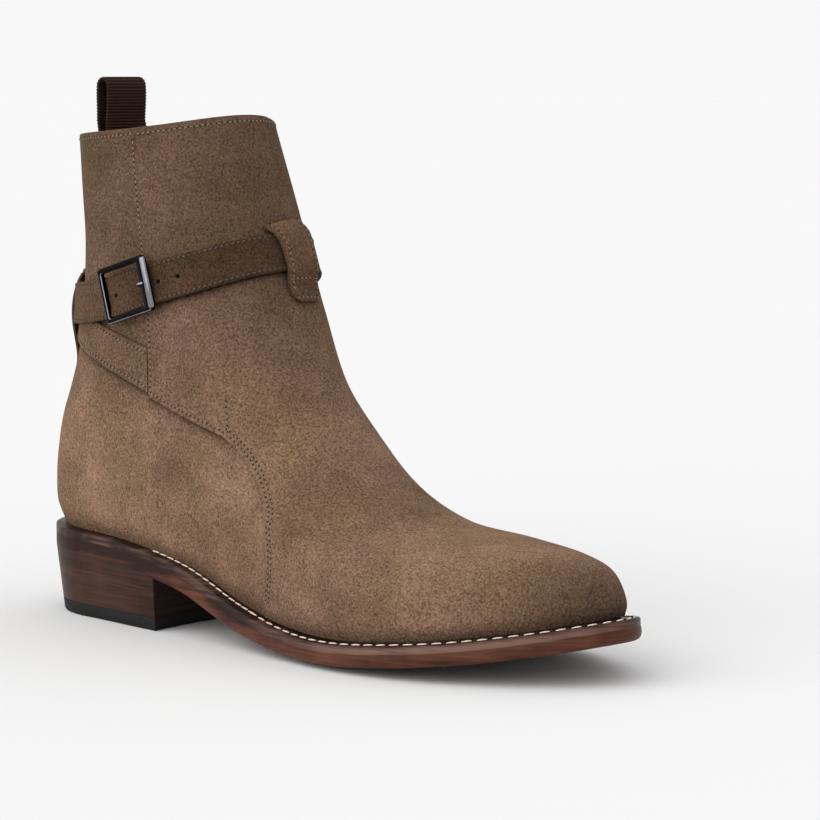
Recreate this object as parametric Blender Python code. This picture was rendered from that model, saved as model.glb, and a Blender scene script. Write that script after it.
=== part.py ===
# Suede ankle boot for the right foot: lasted upper, ankle strap with buckle, welted leather sole.
# Sizes are in millimetres in the maker's frame: x runs from the back of the sole to the toe,
# y from the outer side (negative) to the inner side (positive), and z up from the floor.

import math

import bmesh
import bpy
import numpy as np

MM = 0.001

# Driving sizes
LENGTH = 305.0  # outsole, heel to toe
GAP = 0.3  # between pieces that meet
WALL = 1.8  # leather and lining of the upper
PANEL_STEP = 1.4  # height of the front panel above the quarters
ROUNDNESS = 2.1  # power of the rounded ends, 2 is an ellipse
WELT_THICK = 3.2
WELT_INSIDE = 13.5  # from the welt's outer edge to its inner edge
TOE_ROUND = 84.0  # length over which the sole's outline closes at the toe
HEEL_ROUND = 37.0  # and at the back of the heel
HEEL_LENGTH = 88.0
HEEL_TAPER = 5.0  # how far the back of the heel leans in at the floor
HEEL_SIDE_TAPER = 0.03  # share of its width that the heel loses at the floor
BREAST_HOLLOW = 3.5  # how far the front of the heel curves in
TOP_PIECE = 5.5  # rubber under the heel
INSOLE_THICK = 2.5
STRAP_GAP = 0.5  # between the strap and the front panel
STRAP_WIDTH = 17.5
STRAP_THICK = 2.0
BAND_THICK = 1.1
KEEPER_THICK = 1.5
KEEPER_HALF = 8.2
KEEPER_SIDE = 3.8  # its middle, towards the inner side
KEEPER_TOP_SHIFT = -2.5  # its top end lies further to the outer side,
KEEPER_TOP_TILT = 1.6  # slants and
KEEPER_TOP_WIDER = 0.2  # is wider by this share
STAY_HALF = 13.3
LOOP_HALF = 10.6  # half width of the webbing
LOOP_SIDE = 3.4  # its middle, towards the inner side
LOOP_THICK = 1.4
LOOP_OPENING = 5.0
LOOP_TOP = 227.0
LOOP_TAIL = 12.0  # webbing sewn inside the collar
LOOP_FLAT = 7.0  # height above the collar at which the webbing is flat across
BUCKLE_X = 77.9
BUCKLE_RISE = 0.75  # above the strap's middle
BUCKLE_SIZE = (29.3, 23.2)  # along and across the strap
BUCKLE_WINDOW = (22.7, 18.7)
BUCKLE_WINDOW_SHIFT = -1.2  # the bar nearer the toe is the broad one
BUCKLE_THICK = 2.0
BUCKLE_CORNER = 1.6
BUCKLE_BEVEL = 0.4
PRONG_LENGTH = 7.0
PRONG_WIDTH = 2.0

# Plan of the foot: along (share of LENGTH), outer half, inner half, welt beyond it
PLAN = (
    (0.00, 31.0, 30.0, 2.5),
    (0.12, 31.5, 32.0, 2.3),
    (0.25, 35.5, 32.0, 1.5),
    (0.40, 37.5, 33.5, 3.0),
    (0.55, 43.5, 39.5, 4.0),
    (0.68, 46.5, 46.5, 4.5),
    (0.80, 42.0, 50.0, 4.5),
    (0.90, 34.5, 45.5, 4.5),
    (1.00, 25.0, 40.0, 4.5),
)

# Outsole: along, height of its lower edge, how much lower its middle is, thickness of its edge
UNDERSIDE = (
    (0.00, 28.6, 0.0, 5.3),
    (0.12, 27.3, 0.0, 5.3),
    (0.22, 25.3, 0.0, 5.7),
    (0.34, 18.6, 0.3, 6.7),
    (0.46, 7.6, 1.2, 6.5),
    (0.58, 2.5, 2.9, 5.3),
    (0.66, 2.0, 2.6, 5.3),
    (0.76, 4.4, 1.8, 5.3),
    (0.84, 7.3, 1.2, 5.3),
    (0.92, 11.4, 0.8, 5.3),
    (1.00, 16.5, 0.4, 5.3),
)

# Sides of the outsole and the welt: share of the thickness, growth of the outline
OUTSOLE_SIDE = (
    (1.00, -0.6),
    (0.83, 0.0),
    (0.50, 0.2),
    (0.15, -0.4),
    (0.00, -1.8),
)
WELT_SIDE = (
    (0.00, -0.5),
    (0.78, -0.3),
    (1.00, -1.0),
)

# Underside of the outsole from its edge to its middle: share of the crown, growth of the outline
OUTSOLE_CROWN = (
    (0.72, -12.0),
    (1.00, -22.0),
)

# Sections of the upper, from the feather line up to the collar. Each is a closed ring from the
# back point to the front point: level, back x and z, front x and z, half width of the shaft, share
# of the foot's plan in its width, inset, lengths over which it closes in front and behind, how
# far it follows the line of the sole, and how much lower its sides lie than its front.
RINGS = (
    (0.00, 2.2, 37.4, 297.2, 24.9, 36.0, 1.00, 4.0, 78.0, 34.0, 1.00, 0.0),
    (0.06, -0.5, 46.2, 297.4, 29.9, 36.0, 1.00, 1.2, 80.0, 35.0, 0.95, 0.5),
    (0.13, -0.5, 58.0, 291.8, 39.3, 36.0, 1.00, 0.0, 84.0, 36.0, 0.90, 2.5),
    (0.22, 0.8, 72.0, 277.8, 44.9, 36.0, 0.96, 0.0, 88.0, 38.0, 0.75, 6.0),
    (0.32, 3.5, 84.5, 252.3, 48.0, 36.0, 0.88, 0.0, 92.0, 40.0, 0.55, 9.0),
    (0.42, 9.0, 98.5, 219.7, 51.8, 35.5, 0.72, 0.0, 92.0, 42.0, 0.35, 10.5),
    (0.52, 14.5, 113.5, 187.3, 67.0, 35.7, 0.50, 0.0, 84.0, 44.0, 0.18, 9.0),
    (0.62, 18.0, 129.3, 155.5, 98.8, 35.8, 0.28, 0.0, 72.0, 46.0, 0.06, 5.0),
    (0.72, 20.5, 145.0, 138.4, 129.0, 36.6, 0.10, 0.0, 60.0, 48.0, 0.00, 1.5),
    (0.82, 21.5, 161.5, 126.6, 157.8, 37.0, 0.00, 0.0, 56.0, 50.0, 0.00, 0.0),
    (0.91, 19.8, 180.4, 116.3, 185.0, 37.6, 0.00, 0.0, 55.0, 51.0, 0.00, 2.0),
    (1.00, 18.0, 201.2, 106.2, 210.7, 37.8, 0.00, 0.0, 54.0, 52.0, 0.00, 3.5),
)

# Rear edge of the front panel below and above its diagonal: height, x
VAMP_SEAM = (
    (18.0, 158.0),
    (32.0, 162.2),
    (45.0, 161.4),
    (54.0, 158.6),
    (61.5, 153.2),
    (71.0, 145.0),
    (79.0, 135.5),
    (83.5, 128.0),
)
FLAP_SEAM = (
    (90.0, 85.7),
    (124.0, 84.8),
    (153.0, 81.8),
    (177.0, 78.0),
    (202.0, 73.8),
    (215.0, 71.5),
)
VAMP_CORNER = (128.0, 83.5)  # x and z of the diagonal's lower end
FLAP_CORNER = (85.5, 97.0)  # and of its upper end

# Middle line of the strap: x, height
STRAP = (
    (16.0, 131.0),
    (42.0, 133.0),
    (60.0, 135.8),
    (90.0, 143.4),
    (117.0, 151.5),
    (134.0, 158.3),
)

# Section of the strap: place across its width, how much thinner it is there
STRAP_SECTION = (
    (-0.50, 0.6),
    (-0.42, 0.0),
    (0.00, 0.0),
    (0.42, 0.0),
    (0.50, 0.6),
)

# Band round the heel: x, lower edge, upper edge
BAND = (
    (12.0, 120.5, 136.0),
    (50.0, 109.4, 126.2),
    (90.0, 96.8, 115.5),
)

# What holds the strap, along its height: offset from the strap's middle, lift of its inner face,
# share of its full width
STRAP_LIFT = PANEL_STEP + STRAP_GAP
OVER_STRAP = STRAP_LIFT + STRAP_THICK + GAP
FRONT_KEEPER = (
    (-23.7, STRAP_LIFT + 0.3, 0.50),
    (-21.8, STRAP_LIFT + 0.3, 0.80),
    (-17.5, STRAP_LIFT + 0.5, 1.00),
    (-12.5, STRAP_LIFT + 1.4, 1.00),
    (-9.4, OVER_STRAP + 0.5, 1.00),
    (0.0, OVER_STRAP + 0.9, 1.00),
    (9.4, OVER_STRAP + 0.5, 1.00),
    (12.2, STRAP_LIFT + 1.2, 1.00),
    (14.5, STRAP_LIFT + 0.2, 0.94),
)
BACK_STAY = (
    (-74.0, GAP, 0.50),
    (-66.0, GAP, 0.65),
    (-50.0, GAP, 0.75),
    (-34.0, GAP, 0.90),
    (-24.0, GAP + 0.6, 1.00),
    (-17.0, STRAP_LIFT + 1.6, 1.00),
    (-9.8, OVER_STRAP + 1.6, 1.00),
    (-2.0, OVER_STRAP + 2.6, 1.00),
    (5.0, OVER_STRAP + 2.0, 1.00),
    (9.8, OVER_STRAP + 0.6, 1.00),
    (14.0, GAP + 2.0, 1.00),
    (18.0, GAP, 1.00),
    (21.0, GAP, 0.85),
)

# Prong of the buckle from its root to its tip: share of its length, share of its width, height above
# the strap, thickness
PRONG = (
    (0.0, 1.00, 0.5, 1.3),
    (0.6, 0.85, 0.6, 1.1),
    (1.0, 0.50, GAP, 0.7),
)

# Falling side of the pull loop below its bend: share of the height from the collar to the bend,
# depth in radii of the bend
LOOP_FALL = (
    (0.5, 1.9),
    (0.0, 1.5),
)

# Colours: sRGB red, green, blue, then roughness and metallic value
SUEDE = ((0.49, 0.40, 0.31), 0.95, 0.0)
DARK_SUEDE = ((0.37, 0.29, 0.22), 0.95, 0.0)
SOLE_LEATHER = ((0.32, 0.18, 0.13), 0.45, 0.0)
WELT_LEATHER = ((0.23, 0.14, 0.11), 0.55, 0.0)
HEEL_LEATHER = ((0.27, 0.16, 0.12), 0.40, 0.0)
RUBBER = ((0.08, 0.08, 0.08), 0.75, 0.0)
INSOLE_LEATHER = ((0.62, 0.49, 0.36), 0.60, 0.0)
WEBBING = ((0.18, 0.13, 0.11), 0.85, 0.0)
GUNMETAL = ((0.13, 0.13, 0.14), 0.30, 1.0)


# Smooth curves through a table's rows

def smooth(rows, at):
    rows = np.array(rows)
    at = np.asarray(at, float)
    keys = rows[:, 0]
    values = rows[:, 1:]
    step = np.diff(keys)[:, None]
    slope = np.diff(values, axis=0) / step
    inner = (slope[:-1] * step[1:] + slope[1:] * step[:-1]) / (step[:-1] + step[1:])
    tangent = np.concatenate([slope[:1], inner, slope[-1:]])
    first = np.clip(np.searchsorted(keys, at, side="right") - 1, 0, len(keys) - 2)
    span = step[first]
    t = np.clip((at[..., None] - keys[first][..., None]) / span, -0.5, 1.5)
    start = (2 * t ** 3 - 3 * t ** 2 + 1) * values[first]
    start = start + (t ** 3 - 2 * t ** 2 + t) * span * tangent[first]
    end = (3 * t ** 2 - 2 * t ** 3) * values[first + 1]
    end = end + (t ** 3 - t ** 2) * span * tangent[first + 1]
    return start + end


def solve(function, low, high, rounds=24):
    # Halves the interval until the rising function is nought.
    low = np.array(low, float)
    high = np.array(high, float)
    for _ in range(rounds):
        middle = (low + high) / 2
        above = function(middle) > 0
        high = np.where(above, middle, high)
        low = np.where(above, low, middle)
    return (low + high) / 2


def rounded(share):
    share = np.clip(share, 0, 1)
    return (1 - (1 - share) ** ROUNDNESS) ** (1 / ROUNDNESS)


# Sole lines

def sole_edge(x):
    return smooth(UNDERSIDE, np.asarray(x) / LENGTH)[..., 0]


def sole_crown(x):
    return smooth(UNDERSIDE, np.asarray(x) / LENGTH)[..., 1]


def edge_thick(x):
    return smooth(UNDERSIDE, np.asarray(x) / LENGTH)[..., 2]


def feather(x):
    return sole_edge(x) + edge_thick(x) + GAP + WELT_THICK


def foot_plan(x):
    outer, inner, welt = np.moveaxis(smooth(PLAN, np.asarray(x) / LENGTH), -1, 0)
    return (inner - outer) / 2, (inner + outer) / 2, welt


# Surface of the last: turn runs from the back point (0) along the outer side to the front (pi)

def last_point(level, turn):
    level, turn = np.broadcast_arrays(np.asarray(level, float), np.asarray(turn, float))
    row = np.moveaxis(smooth(RINGS, level), -1, 0)
    back_x, back_z, front_x, front_z, shaft, share, inset, front_round, back_round, follow, dome = row
    along = (1 - np.cos(turn)) / 2
    side = -np.sign(np.sin(turn))
    reach = front_x - back_x
    x = back_x + reach * along
    straight = feather(back_x) * (1 - along) + feather(front_x) * along
    front = rounded((1 - along) * reach / front_round)
    back = rounded(along * reach / back_round)
    z = back_z + (front_z - back_z) * along + follow * (feather(x) - straight) - dome * along * front ** 2
    centre, foot, _ = foot_plan(x)
    half = share * foot + (1 - share) * shaft - inset
    return np.stack([x, share * centre + side * half * front * back, z + GAP], -1)


def last_normal(level, turn):
    small = 0.002
    along = last_point(level, turn + small) - last_point(level, turn - small)
    up = last_point(level + small, turn) - last_point(level - small, turn)
    normal = np.cross(along, up)
    return normal / np.linalg.norm(normal, axis=-1, keepdims=True)


def lifted(level, turn, lift):
    level, turn = np.broadcast_arrays(np.asarray(level, float), np.asarray(turn, float))
    lift = np.asarray(lift, float)[..., None]
    return last_point(level, turn) + lift * last_normal(level, turn)


def level_at(turn, height_of_x):
    # Level at which the last reaches a height that is given along x.
    turn = np.asarray(turn, float)

    def above(level):
        point = last_point(level, turn)
        return point[..., 2] - height_of_x(point[..., 0])

    return solve(above, np.zeros_like(turn), np.full_like(turn, 1.02))


def turn_at_side(offsets, height_of_x, middle):
    # Turns, to both sides of the back or the front point, at which y has the given offsets.
    offsets = np.asarray(offsets, float)
    sense = 1.0 if middle > 1 else -1.0

    def beyond(turn):
        return sense * (last_point(level_at(turn, height_of_x), turn)[..., 1] - offsets)

    return solve(beyond, np.full_like(offsets, middle - 1.3), np.full_like(offsets, middle + 1.3))


# Meshes

def principled(name, finish):
    colour, roughness, metallic = finish
    linear = [(c / 12.92) if c <= 0.04045 else ((c + 0.055) / 1.055) ** 2.4 for c in colour]
    material = bpy.data.materials.new(name)
    material.use_nodes = True
    shader = material.node_tree.nodes["Principled BSDF"]
    shader.inputs["Base Color"].default_value = (*linear, 1.0)
    shader.inputs["Roughness"].default_value = roughness
    shader.inputs["Metallic"].default_value = metallic
    return material


def add_piece(name, points, faces, finish, sharp_angle=35.0):
    mesh = bpy.data.meshes.new(name)
    mesh.from_pydata([tuple(p) for p in np.asarray(points) * MM], [], faces)
    work = bmesh.new()
    work.from_mesh(mesh)
    bmesh.ops.recalc_face_normals(work, faces=work.faces)
    work.to_mesh(mesh)
    work.free()
    mesh.shade_smooth()
    mesh.set_sharp_from_angle(angle=math.radians(sharp_angle))
    mesh.materials.append(principled(name, finish))
    piece = bpy.data.objects.new(name, mesh)
    piece.parent = boot
    bpy.context.collection.objects.link(piece)
    return piece


def add_shell(name, outer, inner, finish, wrap=False):
    # A wall between two grids of the same rows and columns. A wrapped one closes round its columns.
    rows, columns = outer.shape[:2]
    count = rows * columns
    points = np.concatenate([outer.reshape(-1, 3), inner.reshape(-1, 3)])
    number = np.arange(count).reshape(rows, columns)
    faces = []
    last = columns if wrap else columns - 1
    for r in range(rows - 1):
        for c in range(last):
            n = (c + 1) % columns
            quad = (number[r, c], number[r, n], number[r + 1, n], number[r + 1, c])
            faces.append(tuple(int(i) for i in quad))
            faces.append(tuple(int(i) + count for i in quad[::-1]))
    rims = [number[0], number[-1]]
    if wrap:
        rims = [np.append(rim, rim[0]) for rim in rims]
    else:
        rims += [number[:, 0], number[:, -1]]
    for rim in rims:
        for a, b in zip(rim[:-1], rim[1:]):
            faces.append((int(a), int(b), int(b) + count, int(a) + count))
    return add_piece(name, points, faces, finish)


def add_stack(name, loops, finish, ring=False):
    # A solid through loops of points. A ring joins the last loop to the first. Otherwise each loop
    # runs forward along the outer side and back along the inner side, so that strips from side to
    # side close both ends.
    size = len(loops[0])
    count = len(loops)
    faces = []
    for k in range(count if ring else count - 1):
        a = k * size
        b = (k + 1) % count * size
        for i in range(size):
            j = (i + 1) % size
            faces.append((a + i, a + j, b + j, b + i))
    if not ring:
        for base in (0, (count - 1) * size):
            for i in range(size // 2 - 1):
                far = size - 1 - i
                faces.append((base + i, base + i + 1, base + far - 1, base + far))
    return add_piece(name, np.concatenate(loops), faces, finish)


# Sole and heel

def plan_loop(grow, height, stations=34, first=0.06):
    # The sole's outline grown by some millimetres, at a height that is given along x.
    share = (1 - np.cos(np.linspace(first, math.pi - first, stations))) / 2
    x = -grow + (LENGTH + 2 * grow) * share
    centre, foot, welt = foot_plan(x)
    toe = rounded((LENGTH + grow - x) / (TOE_ROUND + grow))
    heel = rounded((x + grow) / (HEEL_ROUND + grow))
    half = (foot + welt + grow) * toe * heel
    outer = np.stack([x, centre - half, height(x)], -1)
    inner = np.stack([x, centre + half, height(x)], -1)
    return np.concatenate([outer, inner[::-1]])


def above_edge(share, rise=0.0):
    return lambda x: sole_edge(x) + share * edge_thick(x) + rise


def crowned(share):
    # Underside away from the edge, flat on the floor where the crown reaches it.
    return lambda x: np.maximum(sole_edge(x) - share * sole_crown(x), 0.0)


def make_outsole():
    land = -WELT_INSIDE - GAP
    loops = [plan_loop(land, feather), plan_loop(land, above_edge(1.0))]
    loops += [plan_loop(grow, above_edge(share)) for share, grow in OUTSOLE_SIDE]
    loops += [plan_loop(grow, crowned(share)) for share, grow in OUTSOLE_CROWN]
    add_stack("outsole", loops, SOLE_LEATHER)


def make_welt():
    high = GAP + WELT_THICK
    loops = [plan_loop(grow, above_edge(1.0, GAP + share * WELT_THICK)) for share, grow in WELT_SIDE]
    loops += [plan_loop(-WELT_INSIDE, above_edge(1.0, rise)) for rise in (high, GAP)]
    add_stack("welt", loops, WELT_LEATHER, ring=True)


def heel_grid(height, lean, stations=20, across=7, first=0.09):
    # Points of the heel's outline, filled from side to side. Lean 1 is the taper at the floor. Only
    # the stations near the breast follow its hollow.
    share = 1 - np.cos(np.linspace(first, math.pi / 2, stations))
    x = HEEL_LENGTH * share
    centre, foot, welt = foot_plan(x)
    half = (foot + welt - GAP) * rounded((x + GAP) / HEEL_ROUND) * (1 - lean * HEEL_SIDE_TAPER)
    place = np.linspace(-1, 1, across)
    hollow = BREAST_HOLLOW * share[:, None] ** 4 * (1 - place[None] ** 2)
    back = lean * HEEL_TAPER
    along = back + x[:, None] * (1 - back / HEEL_LENGTH) - hollow
    side = centre[:, None] + half[:, None] * place[None]
    return np.stack([along, side, height(along) + 0 * side], -1)


def make_heel():
    floor_lean = 1.0
    joint_lean = 1 - TOP_PIECE / float(sole_edge(0.0))
    top = heel_grid(lambda x: sole_edge(x) - GAP, 0.0)
    middle = heel_grid(lambda x: np.full_like(x, TOP_PIECE + GAP), joint_lean)
    add_shell("heel_stack", top, middle, HEEL_LEATHER)
    upper_face = heel_grid(lambda x: np.full_like(x, TOP_PIECE), joint_lean)
    floor_face = heel_grid(lambda x: np.zeros_like(x), floor_lean)
    add_shell("heel_top_piece", upper_face, floor_face, RUBBER)


def insole_loop(rise, stations=30, first=0.08):
    margin = WALL + 2 * GAP
    _, back_x, _, front_x, _, _, _, inset, front_round, back_round, _, _ = RINGS[0]
    share = (1 - np.cos(np.linspace(first, math.pi - first, stations))) / 2
    reach = front_x - back_x - 2 * margin
    x = back_x + margin + reach * share
    centre, foot, _ = foot_plan(x)
    closing = rounded((1 - share) * reach / front_round) * rounded(share * reach / back_round)
    half = (foot - inset - margin) * closing
    outer = np.stack([x, centre - half, feather(x) + rise], -1)
    inner = np.stack([x, centre + half, feather(x) + rise], -1)
    return np.concatenate([outer, inner[::-1]])


def make_insole():
    add_stack("insole", [insole_loop(GAP + INSOLE_THICK), insole_loop(GAP)], INSOLE_LEATHER)


# Upper

def diagonal_height(x):
    # Height of the panel's diagonal edge. In front of it the rows of the upper run on level.
    (low_x, low_z), (high_x, high_z) = VAMP_CORNER, FLAP_CORNER
    return low_z + (np.minimum(x, low_x) - low_x) * (high_z - low_z) / (high_x - low_x)


def row_level(row, turn):
    # Rows 0 to 0.5 lie below the front panel's diagonal edge, rows 0.5 to 1 above it.
    middle = level_at(turn, diagonal_height)
    return np.where(row < 0.5, 2 * row * middle, middle + (2 * row - 1) * (1 - middle))


def seam_turn(row, seam, short):
    # Turn at which a row of the upper meets the panel's rear edge, or stops short of it.
    def beyond(turn):
        point = last_point(row_level(row, turn), turn)
        return point[..., 0] - smooth(seam, point[..., 2])[..., 0] + short

    return float(solve(beyond, 0.1, math.pi - 0.1))


def upper_turns(row, back=10, middle=4, front=13, edge=0.5):
    vamp_row = min(row, 0.5)
    flap_row = max(row, 0.5)
    vamp = seam_turn(vamp_row, VAMP_SEAM, 0.0)
    vamp_short = seam_turn(vamp_row, VAMP_SEAM, edge)
    flap = seam_turn(flap_row, FLAP_SEAM, 0.0)
    flap_short = seam_turn(flap_row, FLAP_SEAM, edge)
    spread = 0.5 * (flap_row - 0.5)
    vamp += spread
    vamp_short += spread
    half = np.concatenate([
        np.linspace(0, flap_short, back + 1),
        np.linspace(flap, vamp_short, middle + 1),
        np.linspace(vamp, math.pi, front + 1),
    ])
    zone = np.repeat([0, 1, 2], [back + 1, middle + 1, front + 1])
    turns = np.concatenate([half, 2 * math.pi - half[-2:0:-1]])
    return turns, np.concatenate([zone, zone[-2:0:-1]])


def make_upper(low_rows=12, high_rows=11, edge_row=0.004):
    low = (0.5 - edge_row) * np.linspace(0, 1, low_rows) ** 1.3
    high = np.linspace(0.5, 1.0, high_rows)
    outer = []
    inner = []
    for row in np.concatenate([low, high]):
        turns, zone = upper_turns(float(row))
        level = row_level(row, turns)
        panel = zone == 2 if row < 0.5 else zone >= 1
        outer.append(lifted(level, turns, np.where(panel, PANEL_STEP, 0.0)))
        inner.append(lifted(level, turns, np.full_like(turns, -WALL)))
    outer = np.array(outer)
    inner = np.array(inner)
    outer[0, :, 2] = feather(outer[0, :, 0]) + GAP
    inner[0, :, 2] = feather(inner[0, :, 0]) + GAP
    add_shell("upper", outer, inner, SUEDE, wrap=True)


# Straps and bands on the upper

def strap_height(x):
    return smooth(STRAP, x)[..., 0]


def make_strap(columns=60):
    turns = np.linspace(0, 2 * math.pi, columns, endpoint=False)
    outer = []
    inner = []
    for place, thin in STRAP_SECTION:
        level = level_at(turns, lambda x: strap_height(x) + place * STRAP_WIDTH)
        outer.append(lifted(level, turns, np.full_like(turns, STRAP_LIFT + STRAP_THICK - thin)))
        inner.append(lifted(level, turns, np.full_like(turns, STRAP_LIFT)))
    add_shell("strap", np.array(outer), np.array(inner), DARK_SUEDE, wrap=True)


def make_heel_band(columns=44, short=0.6):
    outer = []
    inner = []
    for share in (0.0, 0.5, 1.0):
        def height(x):
            low, high = np.moveaxis(smooth(BAND, x), -1, 0)
            return low + share * (high - low)

        def beyond(turn):
            point = last_point(level_at(turn, height), turn)
            return point[..., 0] - smooth(FLAP_SEAM, point[..., 2])[..., 0] + short

        end = float(solve(beyond, 0.3, 2.6))
        turns = np.linspace(-end, end, columns)
        level = level_at(turns, height)
        outer.append(lifted(level, turns, np.full_like(turns, GAP + BAND_THICK)))
        inner.append(lifted(level, turns, np.full_like(turns, GAP)))
    add_shell("heel_band", np.array(outer), np.array(inner), SUEDE)


def make_strap_holder(name, rows, side, half, middle, finish, across=7, step=5.0):
    places = np.linspace(-1, 1, across)
    knots = np.array(rows)
    offsets = [knots[:1, 0]]
    for low, high in zip(knots[:-1, 0], knots[1:, 0]):
        offsets.append(np.linspace(low, high, math.ceil((high - low) / step) + 1)[1:])
    outer = []
    inner = []
    for offset in np.concatenate(offsets):
        lift, share = [np.interp(offset, knots[:, 0], knots[:, k]) for k in (1, 2)]

        lean = np.clip(offset / knots[-1, 0], 0, 1) ** 1.5 * (middle > 1)
        heights = offset + KEEPER_TOP_TILT * lean * places

        def height(x):
            return strap_height(x) + heights

        reach = half * share * (1 + KEEPER_TOP_WIDER * lean)
        turns = turn_at_side(side + KEEPER_TOP_SHIFT * lean + places * reach, height, middle)
        level = level_at(turns, height)
        inner.append(lifted(level, turns, np.full_like(turns, lift)))
        outer.append(lifted(level, turns, np.full_like(turns, lift + KEEPER_THICK)))
    add_shell(name, np.array(outer), np.array(inner), finish)


# Buckle

def strap_frame(x):
    # Point on the strap's outer face at x on the outer side, with the directions along it, across
    # it and out of it.
    def beyond(turn):
        return last_point(level_at(turn, strap_height), turn)[..., 0] - x

    turn = float(solve(beyond, 0.2, 2.9))
    step = 0.02
    face = STRAP_LIFT + STRAP_THICK
    near, point, far = [
        lifted(level_at(t, strap_height), t, face) for t in (turn - step, turn, turn + step)
    ]
    along = (far - near) / np.linalg.norm(far - near)
    out = last_normal(level_at(turn, strap_height), turn)
    out = out - along * np.dot(out, along)
    out = out / np.linalg.norm(out)
    return point, along, np.cross(out, along), out


def rounded_rectangle(width, height, corner, shift, points=5):
    loop = []
    for k, (sx, sy) in enumerate(((1, 1), (-1, 1), (-1, -1), (1, -1))):
        for angle in np.linspace(k * math.pi / 2, (k + 1) * math.pi / 2, points):
            u = shift + sx * (width / 2 - corner) + corner * math.cos(angle)
            v = sy * (height / 2 - corner) + corner * math.sin(angle)
            loop.append((u, v))
    return np.array(loop)


def make_buckle():
    point, along, across, out = strap_frame(BUCKLE_X)
    point = point + BUCKLE_RISE * across

    def placed(flat, height):
        return point + flat[:, :1] * along + flat[:, 1:] * across + height * out

    low = GAP
    high = GAP + BUCKLE_THICK
    width, depth = BUCKLE_SIZE
    frame = rounded_rectangle(width, depth, BUCKLE_CORNER, 0.0)
    bevel = BUCKLE_BEVEL
    frame_top = rounded_rectangle(width - 2 * bevel, depth - 2 * bevel, BUCKLE_CORNER - bevel, 0.0)
    width, depth = BUCKLE_WINDOW
    window = rounded_rectangle(width, depth, BUCKLE_CORNER / 2, BUCKLE_WINDOW_SHIFT)
    loops = [
        placed(frame, low),
        placed(frame, high - bevel),
        placed(frame_top, high),
        placed(window, high),
        placed(window, low),
    ]
    add_stack("buckle_frame", loops, GUNMETAL, ring=True)
    root = BUCKLE_WINDOW_SHIFT + BUCKLE_WINDOW[0] / 2 - GAP
    top = []
    bottom = []
    for share, narrow, rise, thick in PRONG:
        half = PRONG_WIDTH * narrow / 2
        along_strap = root - share * PRONG_LENGTH
        flat = np.array([(along_strap, -half), (along_strap, half)])
        top.append(placed(flat, rise + thick))
        bottom.append(placed(flat, rise))
    add_shell("buckle_prong", np.array(top), np.array(bottom), GUNMETAL)


# Pull loop

def make_pull_loop(across=7, bends=9):
    sides = LOOP_SIDE + np.linspace(-LOOP_HALF, LOOP_HALF, across)

    def inner_wall(turn):
        return lifted(np.ones_like(turn), turn, np.full_like(turn, -WALL))

    def beyond(turn):
        return sides - inner_wall(turn)[..., 1]

    wall = inner_wall(solve(beyond, np.full_like(sides, -1.3), np.full_like(sides, 1.3)))
    collar = float(wall[across // 2, 2])
    (_, low_x, low_z), (_, high_x, high_z) = RINGS[-2][:3], RINGS[-1][:3]
    lean = (low_x - high_x) / (high_z - low_z)
    near = GAP + LOOP_THICK / 2
    radius = (LOOP_OPENING + LOOP_THICK) / 2
    tail = collar - LOOP_TAIL
    bend = LOOP_TOP - radius - LOOP_THICK / 2
    path = [(near, tail), (near, collar), (near, (collar + bend) / 2)]
    for angle in np.linspace(math.pi, 0, bends):
        path.append((near + radius + radius * math.cos(angle), bend + radius * math.sin(angle)))
    path += [(near + depth * radius, collar + share * (bend - collar)) for share, depth in LOOP_FALL]
    path.append((near + LOOP_THICK + GAP, tail))
    path = np.array(path)
    heading = np.gradient(path, axis=0)
    heading = heading / np.linalg.norm(heading, axis=1, keepdims=True)
    sideways = np.stack([-heading[:, 1], heading[:, 0]], -1) * LOOP_THICK / 2
    faces = []
    for line in (path + sideways, path - sideways):
        depth = line[:, :1]
        height = line[:, 1:] + 0 * sides[None]
        middle = wall[across // 2, 0]
        follow = 1 - np.clip((height - collar) / LOOP_FLAT, 0, 1)
        x = middle + follow * (wall[None, :, 0] - middle) + depth + lean * np.maximum(collar - height, 0)
        faces.append(np.stack([x, 0 * x + sides[None], height], -1))
    add_shell("pull_loop", faces[0], faces[1], WEBBING)


# The whole boot, with the middle of its underside at the origin

for item in list(bpy.data.objects):
    bpy.data.objects.remove(item)

boot = bpy.data.objects.new("boot", None)
bpy.context.collection.objects.link(boot)

make_outsole()
make_welt()
make_heel()
make_insole()
make_upper()
make_heel_band()
make_strap()
make_strap_holder("keeper_front", FRONT_KEEPER, KEEPER_SIDE, KEEPER_HALF, math.pi, DARK_SUEDE)
make_strap_holder("back_stay", BACK_STAY, 0.0, STAY_HALF, 0.0, DARK_SUEDE)
make_buckle()
make_pull_loop()

corners = np.array([v.co for piece in boot.children for v in piece.data.vertices])
middle = (corners.min(axis=0) + corners.max(axis=0)) / 2
boot.location = (-middle[0], -middle[1], 0.0)
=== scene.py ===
# Suede ankle boot for the right foot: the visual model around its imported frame.
# Shapes are worked out in mm in the maker's frame, as the solids are: x from the back of the sole to
# the toe, y from the outer side (negative) to the inner side, z up from the floor.

import math

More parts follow.
